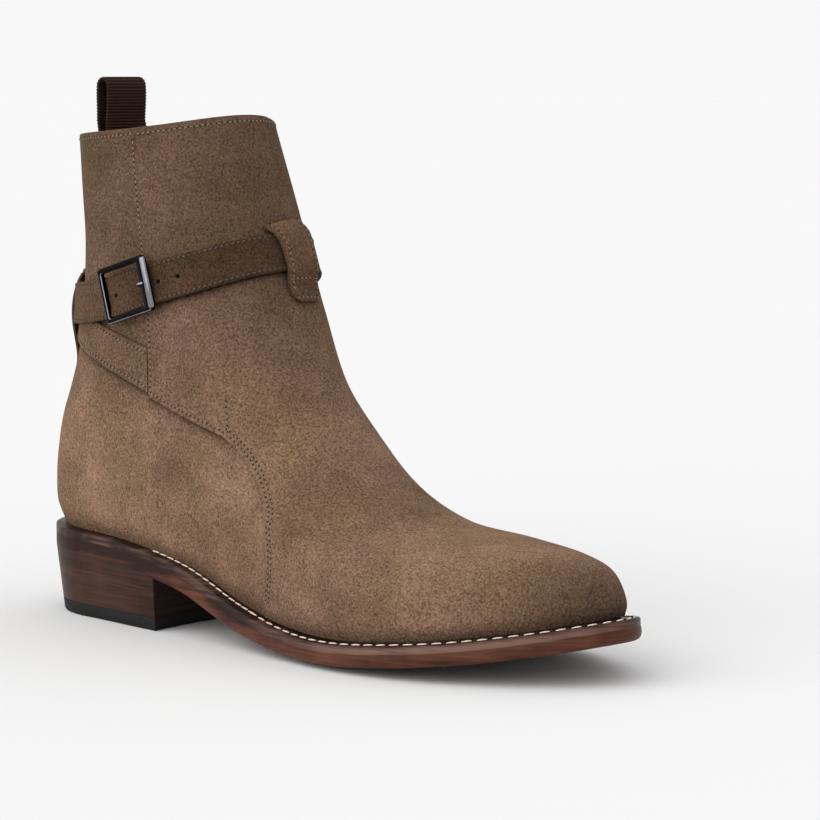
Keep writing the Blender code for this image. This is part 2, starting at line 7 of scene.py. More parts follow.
import bpy
import numpy as np
from mathutils import Matrix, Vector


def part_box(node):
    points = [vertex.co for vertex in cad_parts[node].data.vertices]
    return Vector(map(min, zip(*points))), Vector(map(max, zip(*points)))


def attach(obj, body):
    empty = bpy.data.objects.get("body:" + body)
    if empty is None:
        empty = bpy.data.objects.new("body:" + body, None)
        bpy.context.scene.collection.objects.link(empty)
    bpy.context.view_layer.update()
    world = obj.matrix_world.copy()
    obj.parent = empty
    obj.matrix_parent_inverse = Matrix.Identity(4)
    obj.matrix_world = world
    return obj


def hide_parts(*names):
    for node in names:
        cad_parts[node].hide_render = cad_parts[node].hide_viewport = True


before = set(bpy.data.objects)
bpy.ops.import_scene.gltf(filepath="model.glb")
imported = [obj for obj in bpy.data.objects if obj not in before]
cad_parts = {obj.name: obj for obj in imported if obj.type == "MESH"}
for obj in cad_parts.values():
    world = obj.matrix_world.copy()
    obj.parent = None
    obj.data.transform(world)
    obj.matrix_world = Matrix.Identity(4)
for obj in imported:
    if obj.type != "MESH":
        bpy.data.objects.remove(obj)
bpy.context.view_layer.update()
mm = 0.001
fullTurn = 2 * math.pi
print("frame loaded")

# The last that upper and sole are made on
last = {
    "length": 305.0,
    "gap": 0.3,
    "wall": 1.8,
    "panelStep": 1.4,  # front panel above the quarters
    "roundness": 2.1,
    "weltThick": 3.2,
    "weltInside": 13.5,
    "toeRound": 84.0,
    "heelRound": 37.0,
    "heelEnd": 104.0,  # x where the sole's edge starts to be trimmed flush with the heel
    "heelBlend": 22.0,
}

# along (share of the length), outer half, inner half, welt beyond it
planRows = (
    (0.00, 31.0, 30.0, 2.5),
    (0.12, 31.5, 32.0, 2.3),
    (0.25, 35.5, 32.0, 1.5),
    (0.40, 37.5, 33.5, 3.0),
    (0.55, 43.5, 39.5, 4.0),
    (0.68, 46.5, 46.5, 4.5),
    (0.80, 42.0, 50.0, 4.5),
    (0.90, 34.5, 45.5, 4.5),
    (1.00, 25.0, 40.0, 4.5),
)

# along, height of the outsole's lower edge, how much lower its middle is, thickness of its edge
undersideRows = (
    (0.00, 28.6, 0.0, 5.3),
    (0.12, 27.3, 0.0, 5.3),
    (0.22, 25.3, 0.0, 5.7),
    (0.34, 18.6, 0.3, 6.7),
    (0.46, 7.6, 1.2, 6.5),
    (0.58, 2.5, 2.9, 5.3),
    (0.66, 2.0, 2.6, 5.3),
    (0.76, 4.4, 1.8, 5.3),
    (0.84, 7.3, 1.2, 5.3),
    (0.92, 11.4, 0.8, 5.3),
    (1.00, 16.5, 0.4, 5.3),
)

# level, back x and z, front x and z, half width of the shaft, share of the foot's plan, inset,
# lengths over which it closes in front and behind, how far it follows the sole, drop of its sides
ringRows = (
    (0.00, 2.2, 37.4, 297.2, 24.9, 36.0, 1.00, 4.0, 78.0, 34.0, 1.00, 0.0),
    (0.06, -0.5, 46.2, 297.4, 29.9, 36.0, 1.00, 1.2, 80.0, 35.0, 0.95, 0.5),
    (0.13, -0.5, 58.0, 291.8, 39.3, 36.0, 1.00, 0.0, 84.0, 36.0, 0.90, 2.5),
    (0.22, 0.8, 72.0, 277.8, 44.9, 36.0, 0.96, 0.0, 88.0, 38.0, 0.75, 6.0),
    (0.32, 3.5, 84.5, 252.3, 48.0, 36.0, 0.88, 0.0, 92.0, 40.0, 0.55, 9.0),
    (0.42, 9.0, 98.5, 219.7, 51.8, 35.5, 0.72, 0.0, 92.0, 42.0, 0.35, 10.5),
    (0.52, 14.5, 113.5, 187.3, 67.0, 35.7, 0.50, 0.0, 84.0, 44.0, 0.18, 9.0),
    (0.62, 18.0, 129.3, 155.5, 98.8, 35.8, 0.28, 0.0, 72.0, 46.0, 0.06, 5.0),
    (0.72, 20.5, 145.0, 138.4, 129.0, 36.6, 0.10, 0.0, 60.0, 48.0, 0.00, 1.5),
    (0.82, 21.5, 161.5, 126.6, 157.8, 37.0, 0.00, 0.0, 56.0, 50.0, 0.00, 0.0),
    (0.91, 19.8, 180.4, 116.3, 185.0, 37.6, 0.00, 0.0, 55.0, 51.0, 0.00, 2.0),
    (1.00, 18.0, 201.2, 106.2, 210.7, 37.8, 0.00, 0.0, 54.0, 52.0, 0.00, 3.5),
)

# Soft troughs (negative) and ridges in the leather: x, z, side (-1 outer, 1 inner, 0 both), angle
# from level in degrees, half length, half width, height
reliefRows = (
    (96.0, 172.0, -1, 78.0, 26.0, 9.0, 0.7),
    (112.0, 182.0, -1, 80.0, 24.0, 8.0, -0.6),
    (60.0, 168.0, -1, 84.0, 24.0, 9.0, -0.7),
    (40.0, 160.0, -1, 88.0, 26.0, 8.0, 0.6),
    (120.0, 118.0, -1, 60.0, 20.0, 9.0, 0.6),
    (60.0, 84.0, 0, -24.0, 24.0, 7.0, -0.5),
    (104.0, 70.0, 0, -30.0, 26.0, 9.0, 0.5),
    (146.0, 96.0, 0, -56.0, 18.0, 7.0, -0.7),
    (160.0, 78.0, 0, -48.0, 20.0, 8.0, 0.5),
    (196.0, 52.0, 0, -20.0, 20.0, 6.0, -0.4),
    (94.0, 170.0, 1, 82.0, 26.0, 9.0, -0.6),
    (70.0, 160.0, 1, 86.0, 26.0, 9.0, 0.6),
)


# a smooth curve through a table's rows, by its first column
def smoothRows(rows, at):
    rows = np.array(rows)
    at = np.asarray(at, float)
    keys = rows[:, 0]
    values = rows[:, 1:]
    step = np.diff(keys)[:, None]
    slope = np.diff(values, axis=0) / step
    inner = (slope[:-1] * step[1:] + slope[1:] * step[:-1]) / (step[:-1] + step[1:])
    tangent = np.concatenate([slope[:1], inner, slope[-1:]])
    first = np.clip(np.searchsorted(keys, at, side="right") - 1, 0, len(keys) - 2)
    span = step[first]
    t = np.clip((at[..., None] - keys[first][..., None]) / span, -0.5, 1.5)
    start = (2 * t ** 3 - 3 * t ** 2 + 1) * values[first]
    start = start + (t ** 3 - 2 * t ** 2 + t) * span * tangent[first]
    end = (3 * t ** 2 - 2 * t ** 3) * values[first + 1]
    return start + end + (t ** 3 - t ** 2) * span * tangent[first + 1]


def firstColumn(rows, at):
    return smoothRows(rows, at)[..., 0]


# straight lines between a table's rows of place and value
def straightRows(rows, at):
    places, values = np.array(rows).T
    return np.interp(at, places, values)


def solveRising(function, low, high, rounds=22):
    low = np.array(low, float)
    high = np.array(high, float)
    for _ in range(rounds):
        middle = (low + high) / 2
        above = function(middle) > 0
        high = np.where(above, middle, high)
        low = np.where(above, low, middle)
    return (low + high) / 2


def unit(vectors):
    return vectors / np.linalg.norm(vectors, axis=-1, keepdims=True)


def headings(line):
    return unit(np.gradient(line, axis=0))


def roundedEnd(share):
    share = np.clip(share, 0, 1)
    return (1 - (1 - share) ** last["roundness"]) ** (1 / last["roundness"])


def underside(x, column):
    return smoothRows(undersideRows, np.asarray(x) / last["length"])[..., column]


def soleEdge(x):
    return underside(x, 0)


def soleCrown(x):
    return underside(x, 1)


def edgeThick(x):
    return underside(x, 2)


def feather(x):
    return soleEdge(x) + edgeThick(x) + last["gap"] + last["weltThick"]


def footPlan(x):
    outer, inner, welt = np.moveaxis(smoothRows(planRows, np.asarray(x) / last["length"]), -1, 0)
    return (inner - outer) / 2, (inner + outer) / 2, welt


# turn runs from the back point (0) along the outer side to the front (pi) and back on the inner side
def lastPoint(level, turn):
    level, turn = np.broadcast_arrays(np.asarray(level, float), np.asarray(turn, float))
    row = np.moveaxis(smoothRows(ringRows, level), -1, 0)
    backX, backZ, frontX, frontZ, shaft, share, inset, frontRound, backRound, follow, dome = row
    along = (1 - np.cos(turn)) / 2
    side = -np.sign(np.sin(turn))
    reach = frontX - backX
    x = backX + reach * along
    straight = feather(backX) * (1 - along) + feather(frontX) * along
    front = roundedEnd((1 - along) * reach / frontRound)
    back = roundedEnd(along * reach / backRound)
    z = backZ + (frontZ - backZ) * along + follow * (feather(x) - straight) - dome * along * front ** 2
    centre, foot, _ = footPlan(x)
    half = share * foot + (1 - share) * shaft - inset
    return np.stack([x, share * centre + side * half * front * back, z + last["gap"]], -1)


def lastNormal(level, turn):
    small = 0.002
    along = lastPoint(level, turn + small) - lastPoint(level, turn - small)
    up = lastPoint(level + small, turn) - lastPoint(level - small, turn)
    return unit(np.cross(along, up))


def softRelief(point, blend=20.0):
    x, y, z = np.moveaxis(point, -1, 0)
    height = np.zeros_like(x)
    for cx, cz, side, angle, length, width, amount in reliefRows:
        c = math.cos(math.radians(angle))
        s = math.sin(math.radians(angle))
        u = ((x - cx) * c + (z - cz) * s) / length
        v = ((z - cz) * c - (x - cx) * s) / width
        where = 1.0 if side == 0 else np.clip(0.5 + side * y / blend, 0, 1)
        height = height + amount * where * np.exp(-u ** 2 - v ** 2)
    return height


def lifted(level, turn, lift):
    level, turn = np.broadcast_arrays(np.asarray(level, float), np.asarray(turn, float))
    point = lastPoint(level, turn)
    height = np.asarray(lift, float) + softRelief(point)
    return point + height[..., None] * lastNormal(level, turn)


def levelAt(turn, heightOfX):
    turn = np.asarray(turn, float)

    def above(level):
        point = lastPoint(level, turn)
        return point[..., 2] - heightOfX(point[..., 0])

    return solveRising(above, np.zeros_like(turn), np.full_like(turn, 1.02))


# level and turn of points that are given by x and height on one side (-1 outer, 1 inner)
def surfacePlace(x, z, side):
    def past(turn):
        return lastPoint(levelAt(turn, lambda _: z), turn)[..., 0] - x

    turn = solveRising(past, np.full_like(x, 0.02), np.full_like(x, math.pi - 0.02))
    level = levelAt(turn, lambda _: z)
    return level, turn if side < 0 else fullTurn - turn


def cosineShares(count, first):
    return (1 - np.cos(np.linspace(first, math.pi - first, count))) / 2


# a loop along the outer side and back along the inner side, both half a width from a centre line
def twoSided(x, centre, half, z, *between):
    outer = np.stack([x, centre - half, z], -1)
    inner = np.stack([x, centre + half, z], -1)
    return np.concatenate([outer, *between, inner[::-1]])


# the sole's outline grown by some mm, at a height that is given along x
def planLoop(grow, height, stations=110, first=0.02):
    x = -grow + (last["length"] + 2 * grow) * cosineShares(stations, first)
    centre, foot, welt = footPlan(x)
    toe = roundedEnd((last["length"] + grow - x) / (last["toeRound"] + grow))
    heel = roundedEnd((x + grow) / (last["heelRound"] + grow))
    return twoSided(x, centre, (foot + welt + grow) * toe * heel, height(x))


# share by which the sole's edge is trimmed flush with the heel, at some x
def heelShare(x):
    share = np.clip((last["heelEnd"] - x) / last["heelBlend"], 0, 1)
    return share * share * (3 - 2 * share)


# a loop of the sole that goes over to another growth along the heel
def soleLoop(grow, flush, height):
    loop = planLoop(grow, height)
    share = heelShare(loop[:, :1])
    return loop * (1 - share) + planLoop(flush, height) * share


# where the maker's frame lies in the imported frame, read from the outsole's box
outsoleBox = np.array(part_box("outsole")) / mm
outsoleLoop = planLoop(0.2, soleEdge)
shift = outsoleBox.mean(axis=0) - (outsoleLoop.min(axis=0) + outsoleLoop.max(axis=0)) / 2
shift[2] = 0.0
print("frame shift", shift.round(2))


# Meshes

def quadFaces(number):
    corners = (number[:-1, :-1], number[:-1, 1:], number[1:, 1:], number[1:, :-1])
    return np.stack(corners, -1).reshape(-1, 4)


def gridFaces(rows, columns, wrap=False):
    number = np.arange(rows * columns).reshape(rows, columns)
    if wrap:
        number = np.concatenate([number, number[:, :1]], axis=1)
    return quadFaces(number)


# a wall between two faces that share their layout, closed along every free edge
def closedSheet(outer, inner, faces):
    count = len(outer)
    edges = np.concatenate([faces[:, [k, (k + 1) % 4]] for k in range(4)])
    _, index, uses = np.unique(np.sort(edges, axis=1), axis=0, return_index=True, return_counts=True)
    rim = edges[index[uses == 1]]
    walls = np.stack([rim[:, 1], rim[:, 0], rim[:, 0] + count, rim[:, 1] + count], -1)
    faces = np.concatenate([faces, faces[:, ::-1] + count, walls])
    return np.concatenate([outer, inner]), faces.tolist()


# a solid through closed loops of points. A ring joins the last loop to the first
def closedStack(loops, ring=False):
    size = len(loops[0])
    faces = gridFaces(len(loops) + ring, size, wrap=True) % (len(loops) * size)
    faces = faces.tolist()
    if not ring:
        faces.append(list(range(size - 1, -1, -1)))
        faces.append(list(range((len(loops) - 1) * size, len(loops) * size)))
    return np.concatenate(loops), faces


# faces turned so that they look out of the solid that they close
def outwardFaces(points, faces):
    fans = [(face[0], face[k], face[k + 1]) for face in faces for k in range(1, len(face) - 1)]
    a, b, c = points[np.array(fans)].transpose(1, 0, 2)
    volume = (a * np.cross(b, c)).sum()
    return [face[::-1] for face in faces] if volume < 0 else faces


def newMesh(name, points, edges, faces):
    mesh = bpy.data.meshes.new(name)
    mesh.from_pydata(((points + shift) * mm).tolist(), edges, faces)
    return mesh


def addLayer(mesh, key, values, kind="FLOAT", field="value"):
    layer = mesh.attributes.new(key, kind, "POINT")
    layer.data.foreach_set(field, np.asarray(values, np.float32).ravel())


def addObject(name, data):
    added = bpy.data.objects.new(name, data)
    bpy.context.collection.objects.link(added)
    return added


def dress(piece, replaced):
    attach(piece, "root")
    if replaced:
        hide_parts(*replaced)
    print("made", piece.name, len(piece.data.polygons), "faces")
    return piece


def makePiece(name, points, faces, materials, replaced, parts=None, values=None, sharp=40.0):
    mesh = newMesh(name, points, [], outwardFaces(points, faces))
    mesh.shade_smooth()
    mesh.set_sharp_from_angle(angle=math.radians(sharp))
    for material in materials:
        mesh.materials.append(material)
    if parts is not None:
        mesh.polygons.foreach_set("material_index", np.asarray(parts, np.int32))
    for key, value in (values or {}).items():
        addLayer(mesh, key, value)
    return dress(addObject(name, mesh), replaced)


# turns what a piece's modifiers make into its own mesh
def plainMesh(piece):
    shown = piece.evaluated_get(bpy.context.evaluated_depsgraph_get())
    mesh = bpy.data.meshes.new_from_object(shown)
    piece.modifiers.clear()
    piece.data = mesh


# Materials

def hexColour(text):
    channels = [int(text[k:k + 2], 16) / 255 for k in (1, 3, 5)]
    linear = [c / 12.92 if c <= 0.04045 else ((c + 0.055) / 1.055) ** 2.4 for c in channels]
    return (*linear, 1.0)


# a node given as an input stands for its first output
def setInputs(tree, node, inputs):
    for key, value in inputs.items():
        if isinstance(value, bpy.types.Node):
            value = value.outputs[0]
        if isinstance(value, bpy.types.NodeSocket):
            tree.links.new(value, node.inputs[key])
        else:
            node.inputs[key].default_value = value


def addNode(tree, kind, inputs=None, stops=(), **settings):
    node = tree.nodes.new(kind)
    for k, (place, colour) in enumerate(stops):
        node.color_ramp.elements[k].position = place
        node.color_ramp.elements[k].color = hexColour(colour)
    for key, value in settings.items():
        setattr(node, key, value)
    setInputs(tree, node, inputs or {})
    return node


# a material, its nodes, its shader and the place on the object
def newMaterial(name):
    material = bpy.data.materials.new(name)
    material.use_nodes = True
    tree = material.node_tree
    place = addNode(tree, "ShaderNodeTexCoord").outputs["Object"]
    return material, tree, tree.nodes["Principled BSDF"], place


# inputs of a pattern, its scale from the size of one of its forms in mm
def pattern(place, size, **others):
    return {"Vector": place, "Scale": 1000.0 / size, **others}


# inputs that stretch one range of values to another
def stretch(value, *limits):
    return {"Value": value, **dict(zip(("From Min", "From Max", "To Min", "To Max"), limits))}


# Suede: leather with its fibre side out, brushed, so patches turn pinkish or olive, lighter or darker,
# as the nap lies, with a short speckle of fibres over them. The speckle is drawn about twice as
# coarse as real nap, so that it shows.
def suede(name, dark, light, pink, olive, blotch=34.0, stroke=9.0, nap=0.95):
    material, tree, shader, place = newMaterial(name)
    hue = addNode(tree, "ShaderNodeTexNoise", pattern(place, blotch, Detail=2.0, Roughness=0.45))
    moved = addNode(tree, "ShaderNodeMapping", {"Vector": place, "Location": (0.31, 0.17, 0.52)})
    brushed = addNode(
        tree, "ShaderNodeTexNoise", pattern(moved, blotch / 1.25, Detail=3.0, Roughness=0.5, Distortion=0.4))
    strokes = addNode(
        tree, "ShaderNodeTexNoise", pattern(place, stroke, Detail=4.0, Roughness=0.6, Distortion=0.6))
    fibres = addNode(tree, "ShaderNodeTexNoise", pattern(place, nap, Detail=3.0, Roughness=0.75))
    # tone: the suede's brightness set on each piece, which holds painted light and shade
    placed = addNode(tree, "ShaderNodeAttribute", attribute_name="tone").outputs["Fac"]
    edge = addNode(tree, "ShaderNodeAttribute", attribute_name="edge").outputs["Fac"]
    tint = addNode(tree, "ShaderNodeValToRGB", {"Fac": hue}, stops=((0.36, olive), (0.64, pink)))
    mixed = addNode(tree, "ShaderNodeMix", {"Factor": 0.4, 2: brushed, 3: strokes})
    lay = addNode(tree, "ShaderNodeMapRange", stretch(mixed, 0.25, 0.75, 0.68, 1.32))
    speck = addNode(tree, "ShaderNodeMapRange", stretch(fibres, 0.3, 0.7, 0.30, 1.70))
    tone = addNode(tree, "ShaderNodeMath", {0: lay, 1: speck}, operation="MULTIPLY")
    tone = addNode(tree, "ShaderNodeMath", {0: tone, 1: placed}, operation="MULTIPLY")
    colour = addNode(
        tree, "ShaderNodeMix", {"Factor": 1.0, 6: tint, 7: tone}, data_type="RGBA", blend_type="MULTIPLY")
    # painted shade: the colour goes darker towards cut edges and on inner faces, as the edge attribute says
    shadedEdge = addNode(
        tree, "ShaderNodeMix", {"Factor": edge, 6: colour.outputs[2], 7: hexColour(dark)}, data_type="RGBA")
    height = addNode(tree, "ShaderNodeMath", {0: strokes, 1: 0.5, 2: fibres}, operation="MULTIPLY_ADD")
    bump = addNode(tree, "ShaderNodeBump", {"Height": height, "Strength": 0.5, "Distance": 0.0006})
    setInputs(tree, shader, {
        "Base Color": shadedEdge.outputs[2], "Normal": bump, "Roughness": 0.95, "Specular IOR Level": 0.06,
        "Sheen Weight": 0.04, "Sheen Roughness": 0.5, "Sheen Tint": hexColour(light)})
    return material


# Polished leather edge: dyed, waxed and burnished along its length, so streaks run with the sole and
# a soft gloss lies over them
def burnished(name, dark, light, rough, gloss, coat, streak=1.4, run=26.0, patch=22.0):
    material, tree, shader, place = newMaterial(name)
    drawn = addNode(tree, "ShaderNodeMapping", {"Vector": place, "Scale": (streak / run, streak / run, 1.0)})
    streaks = addNode(tree, "ShaderNodeTexNoise", pattern(drawn, streak, Detail=4.0, Roughness=0.6))
    patches = addNode(tree, "ShaderNodeTexNoise", pattern(place, patch, Detail=3.0))
    mixed = addNode(tree, "ShaderNodeMath", {0: streaks, 1: 0.6}, operation="MULTIPLY")
    mixed = addNode(tree, "ShaderNodeMath", {0: patches, 1: 0.5, 2: mixed}, operation="MULTIPLY_ADD")
    # shade moves the colour: the lifts' own colours, with painted shade and a painted highlight set on some
    # pieces
    shade = addNode(tree, "ShaderNodeAttribute", attribute_name="shade").outputs["Fac"]
    mixed = addNode(tree, "ShaderNodeMath", {0: mixed, 1: shade}, operation="ADD")
    ramp = addNode(tree, "ShaderNodeValToRGB", {"Fac": mixed}, stops=((0.38, dark), (0.74, light)))
    polish = addNode(tree, "ShaderNodeMapRange", stretch(streaks, 0.3, 0.7, rough - 0.08, rough + 0.12))
    bump = addNode(tree, "ShaderNodeBump", {"Height": streaks, "Strength": 0.18, "Distance": 0.0003})
    setInputs(tree, shader, {
        "Base Color": ramp, "Roughness": polish, "Normal": bump, "Specular IOR Level": gloss,
        "Coat Weight": coat, "Coat Roughness": 0.3})
    return material


# Plain leather inside: smooth calf lining, faint pores
def liningLeather(name, dark, light, pore=1.1, patch=30.0):
    material, tree, shader, place = newMaterial(name)
    pores = addNode(tree, "ShaderNodeTexVoronoi", pattern(place, pore))
    patches = addNode(tree, "ShaderNodeTexNoise", pattern(place, patch, Detail=3.0))
    ramp = addNode(tree, "ShaderNodeValToRGB", {"Fac": patches}, stops=((0.35, dark), (0.7, light)))
    bump = addNode(tree, "ShaderNodeBump", {"Height": pores, "Strength": 0.2, "Distance": 0.0003})
    setInputs(tree, shader, {"Base Color": ramp, "Normal": bump, "Roughness": 0.55})
    return material


# Rubber: moulded and buffed, matt, with a fine grit
def heelRubber(name, dark, light, grain=0.9):
    material, tree, shader, place = newMaterial(name)
    grit = addNode(tree, "ShaderNodeTexNoise", pattern(place, grain, Detail=3.0))
    tone = addNode(tree, "ShaderNodeValToRGB", {"Fac": grit}, stops=((0.2, dark), (0.8, light)))
    bump = addNode(tree, "ShaderNodeBump", {"Height": grit, "Strength": 0.25, "Distance": 0.0003})
    setInputs(
        tree, shader, {"Base Color": tone, "Normal": bump, "Roughness": 0.7, "Specular IOR Level": 0.15})
    return material


# Spun thread: polyester or waxed linen, with a fine twist that breaks its sheen
def thread(name, dark, light, twist=0.35, rough=0.6):
    material, tree, shader, place = newMaterial(name)
    fibre = addNode(tree, "ShaderNodeTexNoise", pattern(place, twist, Detail=2.0))
    tone = addNode(tree, "ShaderNodeValToRGB", {"Fac": fibre}, stops=((0.35, dark), (0.65, light)))
    setInputs(tree, shader, {"Base Color": tone, "Roughness": rough})
    return material


# Woven webbing: cotton or polyester warp over thick weft, dull, with the weave's fine checks
def webbing(name, dark, light, warp=0.5, fluff=1.6):
    material, tree, shader, place = newMaterial(name)
    weave = addNode(
        tree, "ShaderNodeTexWave", pattern(place, warp * fullTurn, Distortion=1.5, Detail=2.0),
        bands_direction="Y").outputs["Fac"]
    fluff = addNode(tree, "ShaderNodeTexNoise", pattern(place, fluff, Detail=4.0))
    mixed = addNode(tree, "ShaderNodeMath", {0: weave, 1: 0.35, 2: fluff}, operation="MULTIPLY_ADD")
    # rib: painted shade, darker in the valleys between the raised ribs
    rib = addNode(tree, "ShaderNodeAttribute", attribute_name="rib").outputs["Fac"]
    mixed = addNode(tree, "ShaderNodeMath", {0: rib, 1: 0.7, 2: mixed}, operation="MULTIPLY_ADD")
    tone = addNode(tree, "ShaderNodeValToRGB", {"Fac": mixed}, stops=((0.5, dark), (1.5, light)))
    bump = addNode(tree, "ShaderNodeBump", {"Height": mixed, "Strength": 0.4, "Distance": 0.0003})
    setInputs(
        tree, shader, {"Base Color": tone, "Normal": bump, "Roughness": 0.9, "Specular IOR Level": 0.1})
    return material


# Gunmetal: steel with a dark plated finish, polished, with faint handling marks
def gunmetal(name, dark, light, rough=0.16, mark=3.0):
    material, tree, shader, place = newMaterial(name)
    marks = addNode(tree, "ShaderNodeTexNoise", pattern(place, mark, Detail=5.0))
    tone = addNode(tree, "ShaderNodeValToRGB", {"Fac": marks}, stops=((0.0, dark), (1.0, light)))
    gloss = addNode(tree, "ShaderNodeMapRange", stretch(marks, 0.3, 0.7, rough, rough + 0.12))
    setInputs(tree, shader, {"Base Color": tone, "Roughness": gloss, "Metallic": 1.0})
    return material


suedeMaterial = suede("brushed_suede", "#3d2f22", "#b89a7c", "#775d4c", "#6c5642")
strapSuede = suede("strap_suede", "#2c2119", "#9a8068", "#543f30", "#4c3b2b", blotch=24.0)
weltLeather = burnished("burnished_welt", "#22120c", "#74574a", 0.42, gloss=0.12, coat=0.03)
soleLeather = burnished("burnished_sole", "#27150f", "#673f2f", 0.44, gloss=0.08, coat=0.02)
heelLeather = burnished(
    "stacked_heel_leather", "#28170f", "#4c3127", 0.42, gloss=0.09, coat=0.02, streak=0.9, run=34.0)
insoleLeather = liningLeather("insole_leather", "#8f6d4b", "#b08a62")
lining = liningLeather("calf_lining", "#6d5138", "#8d6b4b")
rubber = heelRubber("heel_rubber", "#0d0d0d", "#242322")
creamThread = thread("cream_waxed_thread", "#c4a999", "#ecd8cb")
seamThread = thread("tan_seam_thread", "#503f2c", "#89734f")
strapThread = thread("brown_strap_thread", "#33271a", "#604a32")
pitMaterial = thread("needle_hole_shade", "#1c150f", "#2e241a", rough=0.95)
webbingMaterial = webbing("ribbed_webbing", "#120a08", "#33211a")
darkMetal = gunmetal("gunmetal_plate", "#060606", "#131315")
# the roller's own metal, also put on the frame and the prong as a painted glint
rollerMetalAndGlint = gunmetal("roller_metal_and_glint", "#626367", "#8e8e92")
print("materials made")


# Painted light and shade on the suede, lighter where it faces the light and darker where it turns away: x, z,
# half length, half height, share that is added or taken off
lightAndShadeRows = (
    (46.0, 62.0, 34.0, 30.0, 0.20),
    (120.0, 58.0, 44.0, 24.0, 0.06),
    (236.0, 50.0, 30.0, 12.0, 0.16),
    (302.0, 30.0, 22.0, 22.0, -0.5),
    (114.0, 188.0, 14.0, 30.0, -0.08),
    (146.0, 118.0, 18.0, 22.0, -0.16),
    (74.0, 113.0, 22.0, 14.0, -0.22),
    (188.0, 66.0, 30.0, 16.0, -0.14),
    (300.0, 24.0, 30.0, 9.0, -0.30),
)
shaftTone = ((88.0, 1.0), (118.0, 0.82), (140.0, 0.70), (168.0, 0.60), (216.0, 0.60))  # height, tone
weltShadowBand = {"height": 4.0, "share": 0.34}  # painted shade in the corner where the suede meets the welt


# the suede's brightness at each point: darker higher up the shaft, with the painted light and shade of the
# rows above and painted shade along the welt
def paintedLightAndTone(points):
    x, _, z = np.moveaxis(points, -1, 0)
    tone = straightRows(shaftTone, z)
    for cx, cz, length, height, amount in lightAndShadeRows:
        tone = tone * (1 + amount * np.exp(-((x - cx) / length) ** 2 - ((z - cz) / height) ** 2))
    return tone * (1 - weltShadowBand["share"] * np.exp(-((z - feather(x)) / weltShadowBand["height"]) ** 2))


# Upper

upperSize = {"levels": 150, "columns": 300, "rim": 0.45, "rimLevel": 1.003}
# painted shadow under the strap's lower edge and under the panel's and the band's edges: how far it reaches,
# how dark it is
strapShadow = {"reach": 1.0, "amount": 0.9}
panelShadow = {"reach": 1.7, "amount": 0.88}
panelShade = (84.0, 145.0)  # x between which the panel's diagonal edge shades the quarters
bandShade = 88.0  # x up to which the band's lower edge does

vampSeam = (  # height, x of the front panel's rear edge below its diagonal
    (18.0, 158.0),
    (32.0, 162.2),
    (45.0, 161.4),
    (54.0, 158.6),
    (61.5, 153.2),
    (71.0, 145.0),
    (79.0, 135.5),
    (83.5, 128.0),
)
flapSeam = (  # and above it
    (90.0, 85.7),
    (124.0, 84.8),
    (153.0, 81.8),
    (177.0, 78.0),
    (202.0, 73.8),
    (215.0, 71.5),
)
vampCorner = (128.0, 83.5)
flapCorner = (85.5, 97.0)
edgeSteps = np.array([0.0, 0.12, 0.35, 0.7, 1.2, 2.0])

strapRows = (  # x, height of the strap's middle
    (16.0, 131.0),
    (42.0, 133.0),
    (60.0, 135.8),
    (90.0, 143.4),
    (117.0, 151.5),
    (134.0, 158.3),
)
bandRows = (  # x, lower edge, upper edge of the band round the heel
    (12.0, 120.5, 136.0),
    (50.0, 109.4, 126.2),
    (90.0, 96.8, 115.5),
)
strapSize = {"width": 17.5, "thick": 2.0, "edge": 0.8, "columns": 420, "flare": 1.5, "flareFrom": 0.55}
bandSize = {"width": 17.0, "under": 0.2, "thick": 1.2, "edge": 0.8, "columns": 170, "short": 0.25}
strapLift = last["panelStep"] + 0.5
overStrap = strapLift + strapSize["thick"] + last["gap"]


def strapHeight(x):
    return firstColumn(strapRows, x)


def strapFoot(x):
    return strapHeight(x) - strapSize["width"] / 2


# height of the front panel's diagonal edge. In front of it the rows run on level
def diagonalHeight(x):
    (lowX, lowZ), (highX, highZ) = vampCorner, flapCorner
    return lowZ + (np.minimum(x, lowX) - lowX) * (highZ - lowZ) / (highX - lowX)


# painted shadow: a dark line on what lies under an edge whose height is given over x
def edgeShade(points, height, reach, amount, above=1.5):
    below = height(points[:, 0]) - points[:, 2]
    return 1 - amount * np.exp(-np.clip(below, 0, None) / reach) * (below > -above)


def shadedTone(points):
    return paintedLightAndTone(points) * edgeShade(points, strapFoot, **strapShadow)


def makeQuarters():
    level = np.append(np.linspace(0, 1, upperSize["levels"]), upperSize["rimLevel"])[:, None]
    turn = np.linspace(0, fullTurn, upperSize["columns"], endpoint=False)[None]
    over = (level > 1) * upperSize["rim"]
    walls = [lifted(level, turn, lift) for lift in (-over, over - last["wall"])]
    for wall in walls:
        wall[0, :, 2] = feather(wall[0, :, 0])
    outer, inner = [wall.reshape(-1, 3) for wall in walls]
    faces = gridFaces(len(level), turn.shape[1], wrap=True)
    points, sheet = closedSheet(outer, inner, faces)
    parts = np.zeros(len(sheet))
    parts[len(faces):2 * len(faces)] = 1
    x = points[:, 0]
    panel = edgeShade(points, diagonalHeight, **panelShadow)
    tone = shadedTone(points) * np.where((x > panelShade[0]) & (x < panelShade[1]), panel, 1.0)
    band = edgeShade(points, lambda along: firstColumn(bandRows, along), **panelShadow)
    tone = tone * np.where(x < bandShade, band, 1.0)
    values = {"tone": tone, "edge": np.zeros(len(points))}
    makePiece("quarters", points, sheet, [suedeMaterial, lining], ["upper"], parts, values)


# a sheet's height over its width: full inside, round at a cut edge
def roundEdge(distance, radius, least=0.3):
    share = np.clip(distance / radius, 0, 1)
    return least + (1 - least) * np.sqrt(1 - (1 - share) ** 2)


# painted shade along a cut edge, by the distance from it
def cutShade(distance, amount, reach):
    return amount * np.clip(1 - distance / reach, 0, 1)


